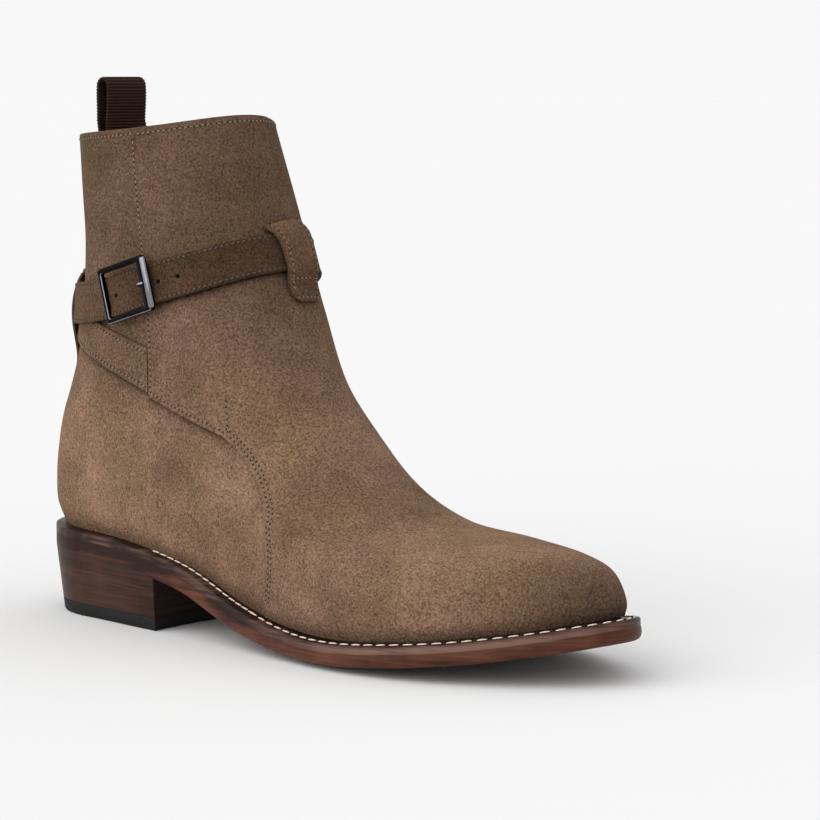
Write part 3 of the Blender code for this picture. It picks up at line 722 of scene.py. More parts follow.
# a sheet of suede on the last, rounded by the distance from its edge, with painted shade along that edge and
# on its inner face
def makeSheet(name, place, faces, size, away, shade, tone, materials, replaced, inside=0.6):
    level, turn, lift = place
    outer = lifted(level, turn, lift + size["thick"] * roundEdge(away, size["edge"])).reshape(-1, 3)
    inner = lifted(level, turn, lift).reshape(-1, 3)
    points, sheet = closedSheet(outer, inner, faces)
    shade = np.broadcast_to(shade, level.shape).ravel()
    values = {"tone": tone(points), "edge": np.append(shade, np.full(len(shade), inside))}
    return makePiece(name, points, sheet, materials, [replaced], None, values)


panelSize = {
    "thick": 1.25,
    "under": 0.15,  # its inner face above the quarters
    "edge": 0.9,  # radius of its cut edge
    "corner": 5.0,  # radius of the flap's top corner
    "lowRows": 60,
    "highRows": 110,
    "front": 70,
    "flap": 26,
    "spread": 0.25,  # turn by which the columns fan out up to the collar
    "levelHeight": 270.0,  # mm of height for one level near the collar
    "near": (60.0, 175.0),  # x between which its rear edge lies
    "foot": 16.0,  # heights between which that edge is drawn
    "top": 216.0,
}


def turnAtSeam(levelOf, seam, beyond):
    def past(turn):
        point = lastPoint(levelOf(turn), turn)
        return point[..., 0] - firstColumn(seam, point[..., 2]) - beyond

    start = np.zeros_like(beyond) + 0.1
    return solveRising(past, start, start + math.pi - 0.2)


def bothSides(half):
    return np.concatenate([half, fullTurn - half[:, -2::-1]], axis=1)


# rear edge of the front panel from the sole to the collar, as x and z
def panelEdge(step=1.0):
    z = np.arange(panelSize["foot"], vampCorner[1], step)
    vamp = np.stack([firstColumn(vampSeam, z), z], -1)
    diagonal = np.linspace(vampCorner, flapCorner, 46)
    z = np.arange(flapCorner[1] + step, panelSize["top"], step)
    return vamp, diagonal, np.stack([firstColumn(flapSeam, z), z], -1)


# distance of points from the panel's rear edge, as seen from the side
def fromPanelEdge(points, far=50.0):
    outline = np.concatenate(panelEdge(0.5))
    away = np.full(len(points), far)
    low, high = panelSize["near"]
    close = np.flatnonzero((points[:, 0] > low) & (points[:, 0] < high))
    for part in np.array_split(close, 12):
        apart = points[part][:, None, [0, 2]] - outline[None]
        away[part] = np.sqrt((apart ** 2).sum(-1)).min(axis=1)
    return away


def makeFrontPanel():
    size = panelSize
    edge = edgeSteps[None]
    rows = np.linspace(0, 1, size["lowRows"])[:, None]
    near = turnAtSeam(lambda turn: rows * levelAt(turn, diagonalHeight), vampSeam, edge + 0 * rows)
    share = np.linspace(0, 1, size["front"] + 1)[1:]
    lowHalf = np.concatenate([near, near[:, -1:] + (math.pi - near[:, -1:]) * share], axis=1)

    rise = np.append(edgeSteps, np.full(size["highRows"], edgeSteps[-1]))[:, None]
    climb = np.append(np.zeros(len(edgeSteps)), np.linspace(0, 1, size["highRows"] + 1)[1:])[:, None]

    def highLevel(turn, top=1.0):
        low = levelAt(turn, lambda x: diagonalHeight(x) + rise)
        return low + climb * (top - low)

    flap = turnAtSeam(highLevel, flapSeam, edge + 0 * rise)
    start = lowHalf[-1, 0] + size["spread"] * climb
    share = np.linspace(0, 1, size["flap"] + 1)[1:-1]
    middle = flap[:, -1:] + (start - flap[:, -1:]) * share
    front = start + (lowHalf[-1] - lowHalf[-1, 0]) * (math.pi - start) / (math.pi - lowHalf[-1, 0])
    highHalf = np.concatenate([flap, middle, front], axis=1)

    lowTurn = bothSides(lowHalf)
    highTurn = bothSides(highHalf)
    lowLevel = rows * levelAt(lowTurn, diagonalHeight)
    flat = lastPoint(highLevel(highTurn), highTurn)
    behind = np.clip(1 - (flat[..., 0] - firstColumn(flapSeam, flat[..., 2])) / size["corner"], 0, 1)
    drop = size["corner"] * (1 - np.sqrt(1 - behind ** 2)) / size["levelHeight"]
    highLevels = highLevel(highTurn, 1.0 - drop)

    columns = highTurn.shape[1]
    first = highHalf.shape[1] - lowHalf.shape[1]
    lowShape = lowTurn[:-1].shape
    number = np.arange(highTurn.size).reshape(highTurn.shape)
    lowNumber = number.size + np.arange(lowTurn[:-1].size).reshape(lowShape)
    lowNumber = np.concatenate([lowNumber, number[:1, first:columns - first]])
    faces = np.concatenate([quadFaces(number), quadFaces(lowNumber)])
    level = np.append(highLevels, lowLevel[:-1])
    turn = np.append(highTurn, lowTurn[:-1])
    topDrop = np.append(drop, np.zeros(lowShape))
    away = fromPanelEdge(lastPoint(level, turn))
    away = np.minimum(away, (1.0 - topDrop - level) * size["levelHeight"])
    makeSheet(
        "front_panel", (level, turn, size["under"]), faces, size, away, cutShade(away, 0.25, 0.5), shadedTone,
        [suedeMaterial], "upper")


# Straps and bands

strapLightRows = ((40.0, 1.18), (90.0, 0.68), (140.0, 0.64))  # x, tone: painted light and shade, lighter towards the heel, which faces the light


def strapLight(points):
    return straightRows(strapLightRows, points[:, 0])


# places across a width of some mm, close together at both edges
def acrossSteps(width, middle):
    inside = np.linspace(edgeSteps[-1], width - edgeSteps[-1], middle)[1:-1]
    return np.concatenate([edgeSteps, inside, (width - edgeSteps)[::-1]])


def strapPlace(turn, across):
    return levelAt(turn, lambda x: strapHeight(x) + across)


# how far the strap's lower edge stands off, on the outer side alone
def strapFlare(turn, across):
    start = strapSize["flareFrom"]
    side = np.clip((np.sin(turn) - start) / (1 - start), 0, 1)
    return strapSize["flare"] * side * np.clip(-across / strapSize["width"] * 2, 0, 1) ** 2


def makeStrap():
    size = strapSize
    across = acrossSteps(size["width"], 8)[:, None]
    turn = np.linspace(0, fullTurn, size["columns"], endpoint=False)[None]
    offset = across - size["width"] / 2
    level = strapPlace(turn + 0 * across, offset)
    away = np.minimum(across, size["width"] - across)
    lift = strapLift + strapFlare(turn, offset)
    faces = gridFaces(len(across), turn.shape[1], wrap=True)
    strap = makeSheet(
        "ankle_strap", (level, turn, lift), faces, size, away, cutShade(away, 0.2, 0.5), strapLight,
        [strapSuede, pitMaterial], "strap")
    punchHoles(strap)


def bandPlace(turn, share):
    def height(x):
        low, high = np.moveaxis(smoothRows(bandRows, x), -1, 0)
        return low + share * (high - low)

    return levelAt(turn, height)


def bandEnds(share):
    return turnAtSeam(lambda turn: bandPlace(turn, share), flapSeam, np.full_like(share, -bandSize["short"]))


def makeHeelBand():
    size = bandSize
    across = acrossSteps(size["width"], 8)[:, None]
    share = across / size["width"]
    turn = bandEnds(share) * np.linspace(-1, 1, size["columns"])[None]
    level = bandPlace(turn, share + 0 * turn)
    away = np.minimum(across, size["width"] - across) + 0 * turn
    makeSheet(
        "heel_band_suede", (level, turn, size["under"]), gridFaces(*turn.shape), size, away,
        cutShade(across, 0.3, 0.8), paintedLightAndTone, [suedeMaterial], "heel_band")


# The strips that hold the strap. Rows: offset from the strap's middle, lift of the inner face, share of
# the full width. Middle is the turn that they lie at, side is how far they are moved to the inner side
holderSize = {"thick": 1.5, "edge": 0.8, "step": 0.7, "tone": 1.34, "rise": 0.015, "tones": (1.05, 1.6)}
keeper = {
    "side": 3.8,
    "half": 8.2,
    "middle": math.pi,
    "rows": (
        (-23.7, strapLift + 0.1, 0.50),
        (-21.8, strapLift + 0.1, 0.80),
        (-17.5, strapLift + 0.3, 1.00),
        (-12.5, strapLift + 1.3, 1.00),
        (-9.4, overStrap + 0.5, 1.00),
        (0.0, overStrap + 0.9, 1.00),
        (9.4, overStrap + 0.5, 1.00),
        (12.2, strapLift + 1.2, 1.00),
        (14.5, strapLift, 0.94),
    ),
    "seam": (-17.0, 12.8),  # offsets between which its sides are sewn
}
stay = {
    "side": 0.0,
    "half": 13.3,
    "middle": 0.0,
    "rows": (
        (-74.0, last["gap"], 0.50),
        (-66.0, last["gap"], 0.65),
        (-50.0, last["gap"], 0.75),
        (-34.0, last["gap"], 0.90),
        (-24.0, last["gap"] + 0.6, 1.00),
        (-17.0, strapLift + 1.6, 1.00),
        (-9.8, overStrap + 1.6, 1.00),
        (-2.0, overStrap + 2.6, 1.00),
        (5.0, overStrap + 2.0, 1.00),
        (9.8, overStrap + 0.6, 1.00),
        (14.0, last["gap"] + 2.0, 1.00),
        (18.0, last["gap"], 1.00),
        (21.0, last["gap"], 0.85),
    ),
    "seam": (-70.0, 18.0),
}
keeperTop = {"shift": -2.5, "tilt": 1.6, "wider": 0.2}  # where the keeper's top end lies


def turnAtSide(side, offset, middle):
    sense = 1.0 if middle > 1 else -1.0

    def beyond(turn):
        return sense * (lastPoint(strapPlace(turn, offset), turn)[..., 1] - side)

    return solveRising(beyond, np.full_like(side, middle - 1.3), np.full_like(side, middle + 1.3))


# level, turn and lift at places across (-1 to 1) a holder
def holderPlace(holder, offset, place):
    lift, share = np.moveaxis(smoothRows(holder["rows"], offset), -1, 0)
    lean = np.clip(offset / holder["rows"][-1][0], 0, 1) ** 1.5 * (holder is keeper)
    reach = holder["half"] * share * (1 + keeperTop["wider"] * lean)
    height = offset + keeperTop["tilt"] * lean * place
    side = holder["side"] + keeperTop["shift"] * lean + place * reach
    turn = turnAtSide(side, height, holder["middle"])
    return strapPlace(turn, height), turn, lift + 0 * place


def holderTone(points):
    above = points[:, 2] - strapHeight(points[:, 0])
    return np.clip(holderSize["tone"] + holderSize["rise"] * above, *holderSize["tones"])


def makeHolder(name, holder, replaced):
    size = holderSize
    half = holder["half"]
    start = holder["rows"][0][0]
    length = holder["rows"][-1][0] - start
    along = acrossSteps(length, int(length / size["step"]))[:, None]
    across = acrossSteps(2 * half, 12)[None]
    place = holderPlace(holder, start + along + 0 * across, across / half - 1 + 0 * along)
    away = np.minimum(np.minimum(across, 2 * half - across), np.minimum(along, length - along))
    makeSheet(
        name, place, gridFaces(*away.shape), size, away, cutShade(away, 0.5, 0.8), holderTone,
        [strapSuede], replaced)


# point on the strap's outer face at x on the outer side, with directions along, across and out of it
def strapFrame(x):
    def past(turn):
        return lastPoint(strapPlace(turn, 0.0), turn)[..., 0] - x

    turn = solveRising(past, 0.2, 2.9)
    face = strapLift + strapSize["thick"]
    near, point, far = [lifted(strapPlace(t, 0.0), t, face) for t in (turn - 0.02, turn, turn + 0.02)]
    along = unit(far - near)
    out = lastNormal(strapPlace(turn, 0.0), turn)
    out = unit(out - along * np.dot(out, along))
    return point, along, np.cross(out, along), out


holeSize = {"radius": 0.85, "depth": 1.7, "over": 2.0, "sides": 16, "at": (70.0, 93.9, 102.2)}


def punchHoles(strap):
    size = holeSize
    parts = []
    faces = []
    for x in size["at"]:
        point, along, across, out = strapFrame(x)
        angle = np.linspace(0, fullTurn, size["sides"], endpoint=False)[:, None]
        ring = point + size["radius"] * (np.cos(angle) * along + np.sin(angle) * across)
        part, sides = closedStack([ring - size["depth"] * out, ring + size["over"] * out])
        faces += [[k + len(parts) * len(part) for k in face] for face in sides]
        parts.append(part)
    points = np.concatenate(parts)
    mesh = newMesh("punch", points, [], outwardFaces(points, faces))
    mesh.materials.append(pitMaterial)
    punch = addObject("punch", mesh)
    # the holes' walls take the punch's dark material: painted shade
    cut = strap.modifiers.new("punch", "BOOLEAN")
    cut.operation = "DIFFERENCE"
    cut.object = punch
    cut.solver = "EXACT"
    cut.material_mode = "TRANSFER"
    plainMesh(strap)
    bpy.data.objects.remove(punch)


makeQuarters()
makeFrontPanel()
makeStrap()
makeHeelBand()
makeHolder("front_keeper", keeper, "keeper_front")
makeHolder("heel_stay", stay, "back_stay")
print("upper and straps made")


# Sole and heel

soleSize = {
    "side": (  # share of the edge's thickness, growth of the outline
        (1.0, -0.25), (0.94, -0.05), (0.84, 0.05), (0.66, 0.18), (0.5, 0.2), (0.32, 0.05), (0.17, -0.35),
        (0.07, -0.95), (0.0, -1.9)),
    "crown": ((0.3, -6.0), (0.72, -12.0), (0.92, -17.0), (1.0, -22.0)),  # share of the crown, growth
    "flush": -0.3,
    "weltSide": (  # share of the welt's thickness, growth, growth where it is flush with the heel
        (0.0, -0.3, -0.3), (0.1, -0.2, -0.3), (0.45, -0.25, -0.3), (0.76, -0.3, -0.3), (0.92, -0.6, -0.4),
        (1.0, -1.1, -0.9)),
    "weltFoot": 0.02,
}


def aboveEdge(share, rise=0.0):
    return lambda x: soleEdge(x) + share * edgeThick(x) + rise


def crowned(share):
    return lambda x: np.maximum(soleEdge(x) - share * soleCrown(x), 0.0)


toeRows = ((170.0, 0.0), (225.0, 1.0), (285.0, 1.0), (305.0, 0.4))  # x, share of the forefoot
soleShade = {"base": 0.08, "top": -0.22, "heel": -0.16, "toe": -0.05}
# on the welt, toe is a painted highlight on its side at the forefoot, kept off its top by top; inside is
# painted shade on its top face under the upper
weltShade = {"base": -0.12, "toe": 0.3, "top": -0.4, "inside": -0.4}


# share of the forefoot, where a painted highlight lies along the sides of the welt and the sole
def toeShare(x):
    return straightRows(toeRows, x)


def makeSole():
    land = -last["weltInside"] - last["gap"]
    loops = [planLoop(land, feather), planLoop(land, aboveEdge(1.0))]
    loops += [soleLoop(grow, soleSize["flush"], aboveEdge(share)) for share, grow in soleSize["side"]]
    loops += [planLoop(grow, crowned(share)) for share, grow in soleSize["crown"]]
    points, faces = closedStack(loops)
    x = points[:, 0]
    rise = np.clip((points[:, 2] - soleEdge(x)) / edgeThick(x), 0, 1)
    toe = toeShare(x)
    shade = soleShade["base"] + soleShade["top"] * rise ** 2 * (1 - toe)
    shade = shade + soleShade["heel"] * heelShare(x) + soleShade["toe"] * toe
    makePiece(
        "outsole_leather", points, faces, [soleLeather], ["outsole"], None, {"shade": shade})


def makeWelt():
    low = soleSize["weltFoot"]
    high = last["gap"] + last["weltThick"]
    side = soleSize["weltSide"]
    loops = [soleLoop(grow, flush, aboveEdge(1.0, low + share * (high - low))) for share, grow, flush in side]
    loops += [planLoop(-last["weltInside"], aboveEdge(1.0, rise)) for rise in (high, low)]
    points, faces = closedStack(loops, ring=True)
    shares = np.array([share for share, _, _ in side] + [1.0, 1.0])
    top = np.repeat(np.clip(2 * shares - 1, 0, 1), len(loops[0]))
    shade = weltShade["base"] + toeShare(points[:, 0]) * (weltShade["toe"] + weltShade["top"] * top)
    shade[-2 * len(loops[0]):] = weltShade["inside"]
    makePiece(
        "stitched_welt", points, faces, [weltLeather], ["welt"], None, {"shade": shade})


heelSize = {
    "length": 88.0,
    "taper": 5.0,
    "sideTaper": 0.03,
    "hollow": 3.5,
    "topPiece": 5.5,
    "joint": 0.1,
    "lifts": 6,
    "groove": 0.05,
    "stations": 60,
    "breast": 15,
}
# the lifts' own colours, changing from lift to lift, with painted shade on the breast, which lies under the
# arch
liftShade = {"base": -0.04, "breast": -0.3, "spread": 0.05, "step": 2.4, "start": 0.8}


# loop round the heel: along the outer side, across the breast, back along the inner side
def heelLoop(height, lean, inset):
    size = heelSize
    share = 1 - np.cos(np.linspace(0.03, math.pi / 2, size["stations"]))
    flush = soleSize["flush"]
    x = -flush + (size["length"] + flush) * share
    centre, foot, welt = footPlan(x)
    half = (foot + welt + flush) * roundedEnd((x + flush) / (last["heelRound"] + flush))
    half = half * (1 - lean * size["sideTaper"]) - inset
    back = lean * size["taper"] + inset
    along = back + x * (1 - (back + inset) / size["length"])
    place = np.linspace(-1, 1, size["breast"])[1:-1]
    front = along[-1] - size["hollow"] * (1 - place ** 2)
    breast = np.stack([front, centre[-1] + half[-1] * place, height(front)], -1)
    return twoSided(along, centre, half, height(along), breast)


def makeHeel():
    size = heelSize
    base = size["topPiece"] + size["joint"]
    full = float(soleEdge(0.0))
    jointLean = 1 - size["topPiece"] / full

    def stackHeight(share):
        return lambda x: base + share * (soleEdge(x) - base)

    loops = []
    for lift in range(size["lifts"]):
        for part, inset in ((0.0, size["groove"]), (0.07, 0.0), (0.93, 0.0), (1.0, size["groove"])):
            share = (lift + part) / size["lifts"]
            loops.append(heelLoop(stackHeight(share), jointLean * (1 - share), inset))
    points, faces = closedStack(loops)
    count = len(loops[0])
    lift = np.repeat(np.arange(size["lifts"]), 4 * count)
    place = np.arange(count)
    onBreast = (place >= size["stations"]) & (place < count - size["stations"])
    shade = liftShade["spread"] * np.sin(lift * liftShade["step"] + liftShade["start"])
    shade = shade + liftShade["base"] + liftShade["breast"] * np.tile(onBreast, len(loops))
    makePiece(
        "stacked_heel", points, faces, [heelLeather], ["heel_stack"], None, {"shade": shade})
    top = size["topPiece"]
    loops = []
    for z, inset in ((0.0, 0.9), (0.25, 0.4), (0.8, 0.0), (top - 0.4, 0.0), (top, 0.3)):
        loops.append(heelLoop(lambda x: np.full_like(x, z), 1 - z / full, inset))
    points, faces = closedStack(loops)
    makePiece("heel_cap", points, faces, [rubber], ["heel_top_piece"])


insoleSize = {"thick": 2.5, "margin": 2.4, "stations": 90, "edge": 0.6, "bevel": 0.7}


def makeInsole():
    size = insoleSize
    _, backX, _, frontX, _, _, _, inset, frontRound, backRound, _, _ = ringRows[0]
    share = cosineShares(size["stations"], 0.03)

    def loop(rise, shrink):
        margin = size["margin"] + shrink
        reach = frontX - backX - 2 * margin
        x = backX + margin + reach * share
        centre, foot, _ = footPlan(x)
        closing = roundedEnd((1 - share) * reach / frontRound) * roundedEnd(share * reach / backRound)
        return twoSided(x, centre, (foot - inset - margin) * closing, feather(x) + rise)

    top = last["gap"] + size["thick"]
    loops = [loop(last["gap"], 0.0), loop(top - size["edge"], 0.0), loop(top, size["bevel"])]
    points, faces = closedStack(loops)
    makePiece("insole_board", points, faces, [insoleLeather], ["insole"])


makeSole()
makeWelt()
makeHeel()
makeInsole()
print("sole and heel made")


# Buckle

buckleSize = {
    "x": 77.9,
    "rise": 0.75,
    "outside": (29.3, 23.2),
    "window": (22.7, 18.7),
    "windowShift": -1.2,
    "thick": 2.0,
    "corner": 1.6,
    "bevel": 0.45,
    "axis": 1.1,  # height of the roller's middle and of the prong's root
    "rollerRadius": 1.65,
    "rollerFlat": 0.75,
    "rollerAt": 14.2,
    "rollerHalf": 10.7,
    "rib": 0.7,
    "prong": 4.6,
    "prongRoot": 12.3,
    "prongRadius": 1.0,
    "prongArch": 1.5,
    "prongDrop": 0.6,
}


def roundedRectangle(width, height, corner, shiftX, points=8):
    loop = []
    for k, (sx, sy) in enumerate(((1, 1), (-1, 1), (-1, -1), (1, -1))):
        for angle in np.linspace(k * math.pi / 2, (k + 1) * math.pi / 2, points):
            loop.append((shiftX + sx * (width / 2 - corner) + corner * math.cos(angle),
                         sy * (height / 2 - corner) + corner * math.sin(angle)))
    return np.array(loop)


def makeBuckle():
    size = buckleSize
    point, along, across, out = strapFrame(size["x"])
    point = point + size["rise"] * across
    low = last["gap"]
    high = low + size["thick"]
    axis = low + size["axis"]
    bevel = size["bevel"]

    def placed(u, v, height):
        u, v, height = [part[:, None] for part in np.broadcast_arrays(u, v, height)]
        return point + u * along + v * across + height * out

    # the middles of faces, along, across and out of the strap
    def middles(points, faces):
        middle = np.array([points[face].mean(axis=0) for face in faces]) - point
        return middle @ along, middle @ across, middle @ out

    steps = ((0.0, low), (0.0, high - bevel), (bevel * 0.3, high - bevel * 0.3), (bevel, high))
    outline = (size["outside"], size["corner"], 0.0, -1, steps)
    window = (size["window"], size["corner"] / 2, size["windowShift"], 1, steps[::-1])
    loops = []
    for (width, depth), corner, move, sense, part in (outline, window):
        for inset, height in part:
            grow = 2 * sense * inset
            flat = roundedRectangle(width + grow, depth + grow, max(corner + sense * inset, 0.3), move)
            loops.append(placed(*flat.T, height))
    points, faces = closedStack(loops, ring=True)
    u, v, height = middles(points, faces)
    # painted glint: the roller's lighter metal on the top bevels along the window's left side and the frame's
    # bottom edge, where they catch the light
    inward = np.abs(u - size["windowShift"] + size["window"][0] / 2) < size["rib"]
    below = np.abs(v + size["outside"][1] / 2) < size["rib"]
    paintedGlint = (height > high - bevel) & (height < high - 0.01) & (inward | below)
    makePiece(
        "buckle_bars", points, faces, [darkMetal, rollerMetalAndGlint], ["buckle_frame"], paintedGlint,
        sharp=25.0)

    angle = np.linspace(0, fullTurn, 28, endpoint=False)
    half = size["rollerHalf"]
    ends = ((half, 0.6), (half - 0.3, 0.9), (half - 0.6, 1.0))
    loops = []
    for v, shrink in [(-v, shrink) for v, shrink in ends] + list(ends[::-1]):
        radius = size["rollerRadius"] * shrink
        height = axis + size["rollerFlat"] * radius * np.sin(angle)
        loops.append(placed(size["rollerAt"] + radius * np.cos(angle), v, height))
    points, faces = closedStack(loops)
    u, _, height = middles(points, faces)
    # painted shade and dark reflection: the roller's faces that turn away from the light take the dark metal
    side = np.degrees(np.arctan2((height - axis) / size["rollerFlat"], u - size["rollerAt"]))
    shaded = (side < 18) & (side > -90)
    makePiece("buckle_roller", points, faces, [rollerMetalAndGlint, darkMetal], (), shaded)

    angle = np.linspace(0, fullTurn, 14, endpoint=False)
    loops = []
    for share in np.linspace(0, 1, 9):
        radius = size["prongRadius"] * (1 - 0.5 * share ** 2)
        height = axis + size["prongArch"] * math.sin(math.pi * share) - size["prongDrop"] * share
        u = size["prongRoot"] - size["prong"] * share
        loops.append(placed(u, radius * np.cos(angle), height + radius * np.sin(angle)))
    points, faces = closedStack(loops)
    u, v, _ = middles(points, faces)
    # painted glint on the prong's curl, in the roller's lighter metal
    share = (size["prongRoot"] - u) / size["prong"]
    prongGlint = (share > 0.05) & (share < 0.5) & (v > -0.2)
    makePiece("buckle_hook", points, faces, [darkMetal, rollerMetalAndGlint], ["buckle_prong"], prongGlint)


makeBuckle()


# Geometry node trees

def nodeTree(name, sockets):
    tree = bpy.data.node_groups.new(name, "GeometryNodeTree")
    tree.interface.new_socket("Geometry", in_out="OUTPUT", socket_type="NodeSocketGeometry")
    tree.interface.new_socket("Geometry", in_out="INPUT", socket_type="NodeSocketGeometry")
    for label, kind in sockets.items():
        tree.interface.new_socket(label, in_out="INPUT", socket_type="NodeSocket" + kind)
    return tree, addNode(tree, "NodeGroupInput").outputs, addNode(tree, "NodeGroupOutput")


def growPiece(name, source, tree, settings, replaced=()):
    piece = addObject(name, source)
    grow = piece.modifiers.new(tree.name, "NODES")
    grow.node_group = tree
    for item in tree.interface.items_tree:
        if item.in_out == "INPUT" and item.name in settings:
            grow[item.identifier] = settings[item.name]
    piece.update_tag()
    plainMesh(piece)
    dress(piece, replaced)


# stitches along a path: a thread between two needle holes, over and over; each hole is a dark dot of painted
# shade
def stitchTree():
    sizes = ("Pitch", "Length", "Width", "Height", "Hole", "Slant")
    tree, given, result = nodeTree(
        "stitches_on_path", {**dict.fromkeys(sizes, "Float"), "Thread": "Material", "Shade": "Material"})
    path = addNode(tree, "GeometryNodeMeshToCurve", {"Mesh": given["Geometry"]})
    spaced = addNode(
        tree, "GeometryNodeResampleCurve", {"Curve": path, "Length": given["Pitch"]}, mode="LENGTH")
    outward = addNode(tree, "GeometryNodeInputNamedAttribute", {"Name": "out"}, data_type="FLOAT_VECTOR")
    tangent = addNode(tree, "GeometryNodeInputTangent")
    turned = addNode(
        tree, "FunctionNodeAxesToRotation", {"Primary Axis": outward, "Secondary Axis": tangent},
        primary_axis="Z", secondary_axis="X")
    tilt = addNode(tree, "ShaderNodeCombineXYZ", {"Z": given["Slant"]})
    turned = addNode(
        tree, "FunctionNodeRotateRotation", {"Rotation": turned, "Rotate By": tilt}, rotation_space="LOCAL")
    ball = addNode(tree, "GeometryNodeMeshIcoSphere", {"Radius": 0.5, "Subdivisions": 2})
    sizes = addNode(
        tree, "ShaderNodeCombineXYZ", {"X": given["Length"], "Y": given["Width"], "Z": given["Height"]})
    sewn = addNode(tree, "GeometryNodeTransform", {"Geometry": ball, "Scale": sizes})
    sewn = addNode(tree, "GeometryNodeSetMaterial", {"Geometry": sewn, "Material": given["Thread"]})
    dot = addNode(tree, "GeometryNodeMeshIcoSphere", {"Radius": 0.5, "Subdivisions": 1})
    sizes = addNode(
        tree, "ShaderNodeCombineXYZ", {"X": given["Hole"], "Y": given["Hole"], "Z": given["Height"]})
    step = addNode(tree, "ShaderNodeMath", {0: given["Pitch"], 1: 0.5}, operation="MULTIPLY")
    beside = addNode(tree, "ShaderNodeCombineXYZ", {"X": step})
    hole = addNode(tree, "GeometryNodeTransform", {"Geometry": dot, "Translation": beside, "Scale": sizes})
    hole = addNode(tree, "GeometryNodeSetMaterial", {"Geometry": hole, "Material": given["Shade"]})
    both = addNode(tree, "GeometryNodeJoinGeometry", {"Geometry": sewn})
    setInputs(tree, both, {"Geometry": hole})
    placed = addNode(
        tree, "GeometryNodeInstanceOnPoints", {"Points": spaced, "Instance": both, "Rotation": turned})
    real = addNode(tree, "GeometryNodeRealizeInstances", {"Geometry": placed})
    soft = addNode(tree, "GeometryNodeSetShadeSmooth", {"Geometry": real})
    setInputs(tree, result, {"Geometry": soft})
    return tree


# a path's mesh: each line is points and the direction out of the surface below them
def pathMesh(name, lines):
    edges = []
    start = 0
    for line, _ in lines:
        edges += [(k, k + 1) for k in range(start, start + len(line) - 1)]
        start += len(line)
    mesh = newMesh(name, np.concatenate([line for line, _ in lines]), edges, [])
    addLayer(mesh, "out", np.concatenate([out for _, out in lines]), "FLOAT_VECTOR", "vector")
    return mesh


def surfaceLine(level, turn, lift):
    return lifted(level, turn, lift), lastNormal(level, turn)


# a line of x and z moved sideways into the panel
def movedLine(line, inset):
    heading = headings(line)
    return line + inset * np.stack([heading[:, 1], -heading[:, 0]], -1)


seamSize = {
    "first": 2.1,  # rows from the panel's edge
    "second": 3.7,
    "from": 21.0,  # heights between which the panel is sewn
    "to": 201.0,
    "bar": ((131.0, 84.5), (127.5, 96.5)),  # short row above the vamp's corner, x and z
    "flapTop": (78.5, 203.0),
    "pitch": 2.3,
    "length": 1.6,
    "width": 0.7,
    "height": 0.55,
    "hole": 0.95,
    "edge": 1.9,  # from other edges
    "strapEdge": 1.4,
    "panelTop": 1.15,  # on the panel, from the collar's edge, as a multiple of that
    "backShort": 0.1,  # turn by which rows stop short of the panel
    "bandShort": 0.03,
    "bandShares": (0.12, 0.88),
    "keeperRows": (-13.0, -21.6),  # offsets of the rows across the keeper
    "lift": 0.02,
}


def seamLines():
    size = seamSize
    top = last["panelStep"] + size["lift"]
    vamp, diagonal, flap = panelEdge()
    vamp = vamp[vamp[:, 1] > size["from"]]
    edge = np.concatenate([vamp, diagonal[1:-1], flap[flap[:, 1] < size["to"]]])
    rows = (movedLine(edge, size["first"]), movedLine(vamp, size["second"]), np.linspace(*size["bar"], 12))
    lines = []
    for side in (-1, 1):
        for row in rows:
            lines.append(surfaceLine(*surfacePlace(row[:, 0], row[:, 1], side), top))
    below = size["edge"] / panelSize["levelHeight"]
    x, z = np.array(size["flapTop"])[:, None]
    end = surfacePlace(x, z, -1)[1][0]
    turn = np.linspace(end, fullTurn - end, 160)
    lines.append(surfaceLine(np.full_like(turn, 1 - size["panelTop"] * below), turn, top))
    end = end - size["backShort"]
    turn = np.linspace(-end, end, 120)
    lines.append(surfaceLine(np.full_like(turn, 1 - below), turn, size["lift"]))
    face = bandSize["under"] + bandSize["thick"] + size["lift"]
    for share in size["bandShares"]:
        end = float(bandEnds(np.array([share]))[0]) - size["bandShort"]
        turn = np.linspace(-end, end, 140)
        lines.append(surfaceLine(bandPlace(turn, share), turn, face))
    return lines


def strapLines():
    face = strapLift + strapSize["thick"] + seamSize["lift"]
    turn = np.linspace(0, fullTurn, 400)
    half = strapSize["width"] / 2 - seamSize["strapEdge"]
    return [surfaceLine(strapPlace(turn, across), turn, face + strapFlare(turn, across))
            for across in (-half, half)]


def holderLines():
    rows = []
    for holder in (keeper, stay):
        offset = np.linspace(*holder["seam"], 60)
        reach = 1 - seamSize["edge"] / holder["half"]
        rows += [holderPlace(holder, offset, np.full_like(offset, side)) for side in (-reach, reach)]
    place = np.linspace(-0.8, 0.8, 20)
    rows += [holderPlace(keeper, np.full_like(place, offset), place) for offset in seamSize["keeperRows"]]
    face = holderSize["thick"] + seamSize["lift"]
    return [surfaceLine(level, turn, lift + face) for level, turn, lift in rows]


weltStitch = {
    "stations": 260,
    "inset": 2.3,
    "waistInset": 4.7,
    "from": 84.0,
    "join": 150.0,
    "blend": 40.0,
    "lift": 0.12,
    "height": 0.75,
    "hole": 0.9,
    "slant": 7.0,
    "waist": (4.6, 0.96, 0.75),  # pitch, share of it that is thread, width
    "forefoot": (5.9, 0.74, 1.0),
}


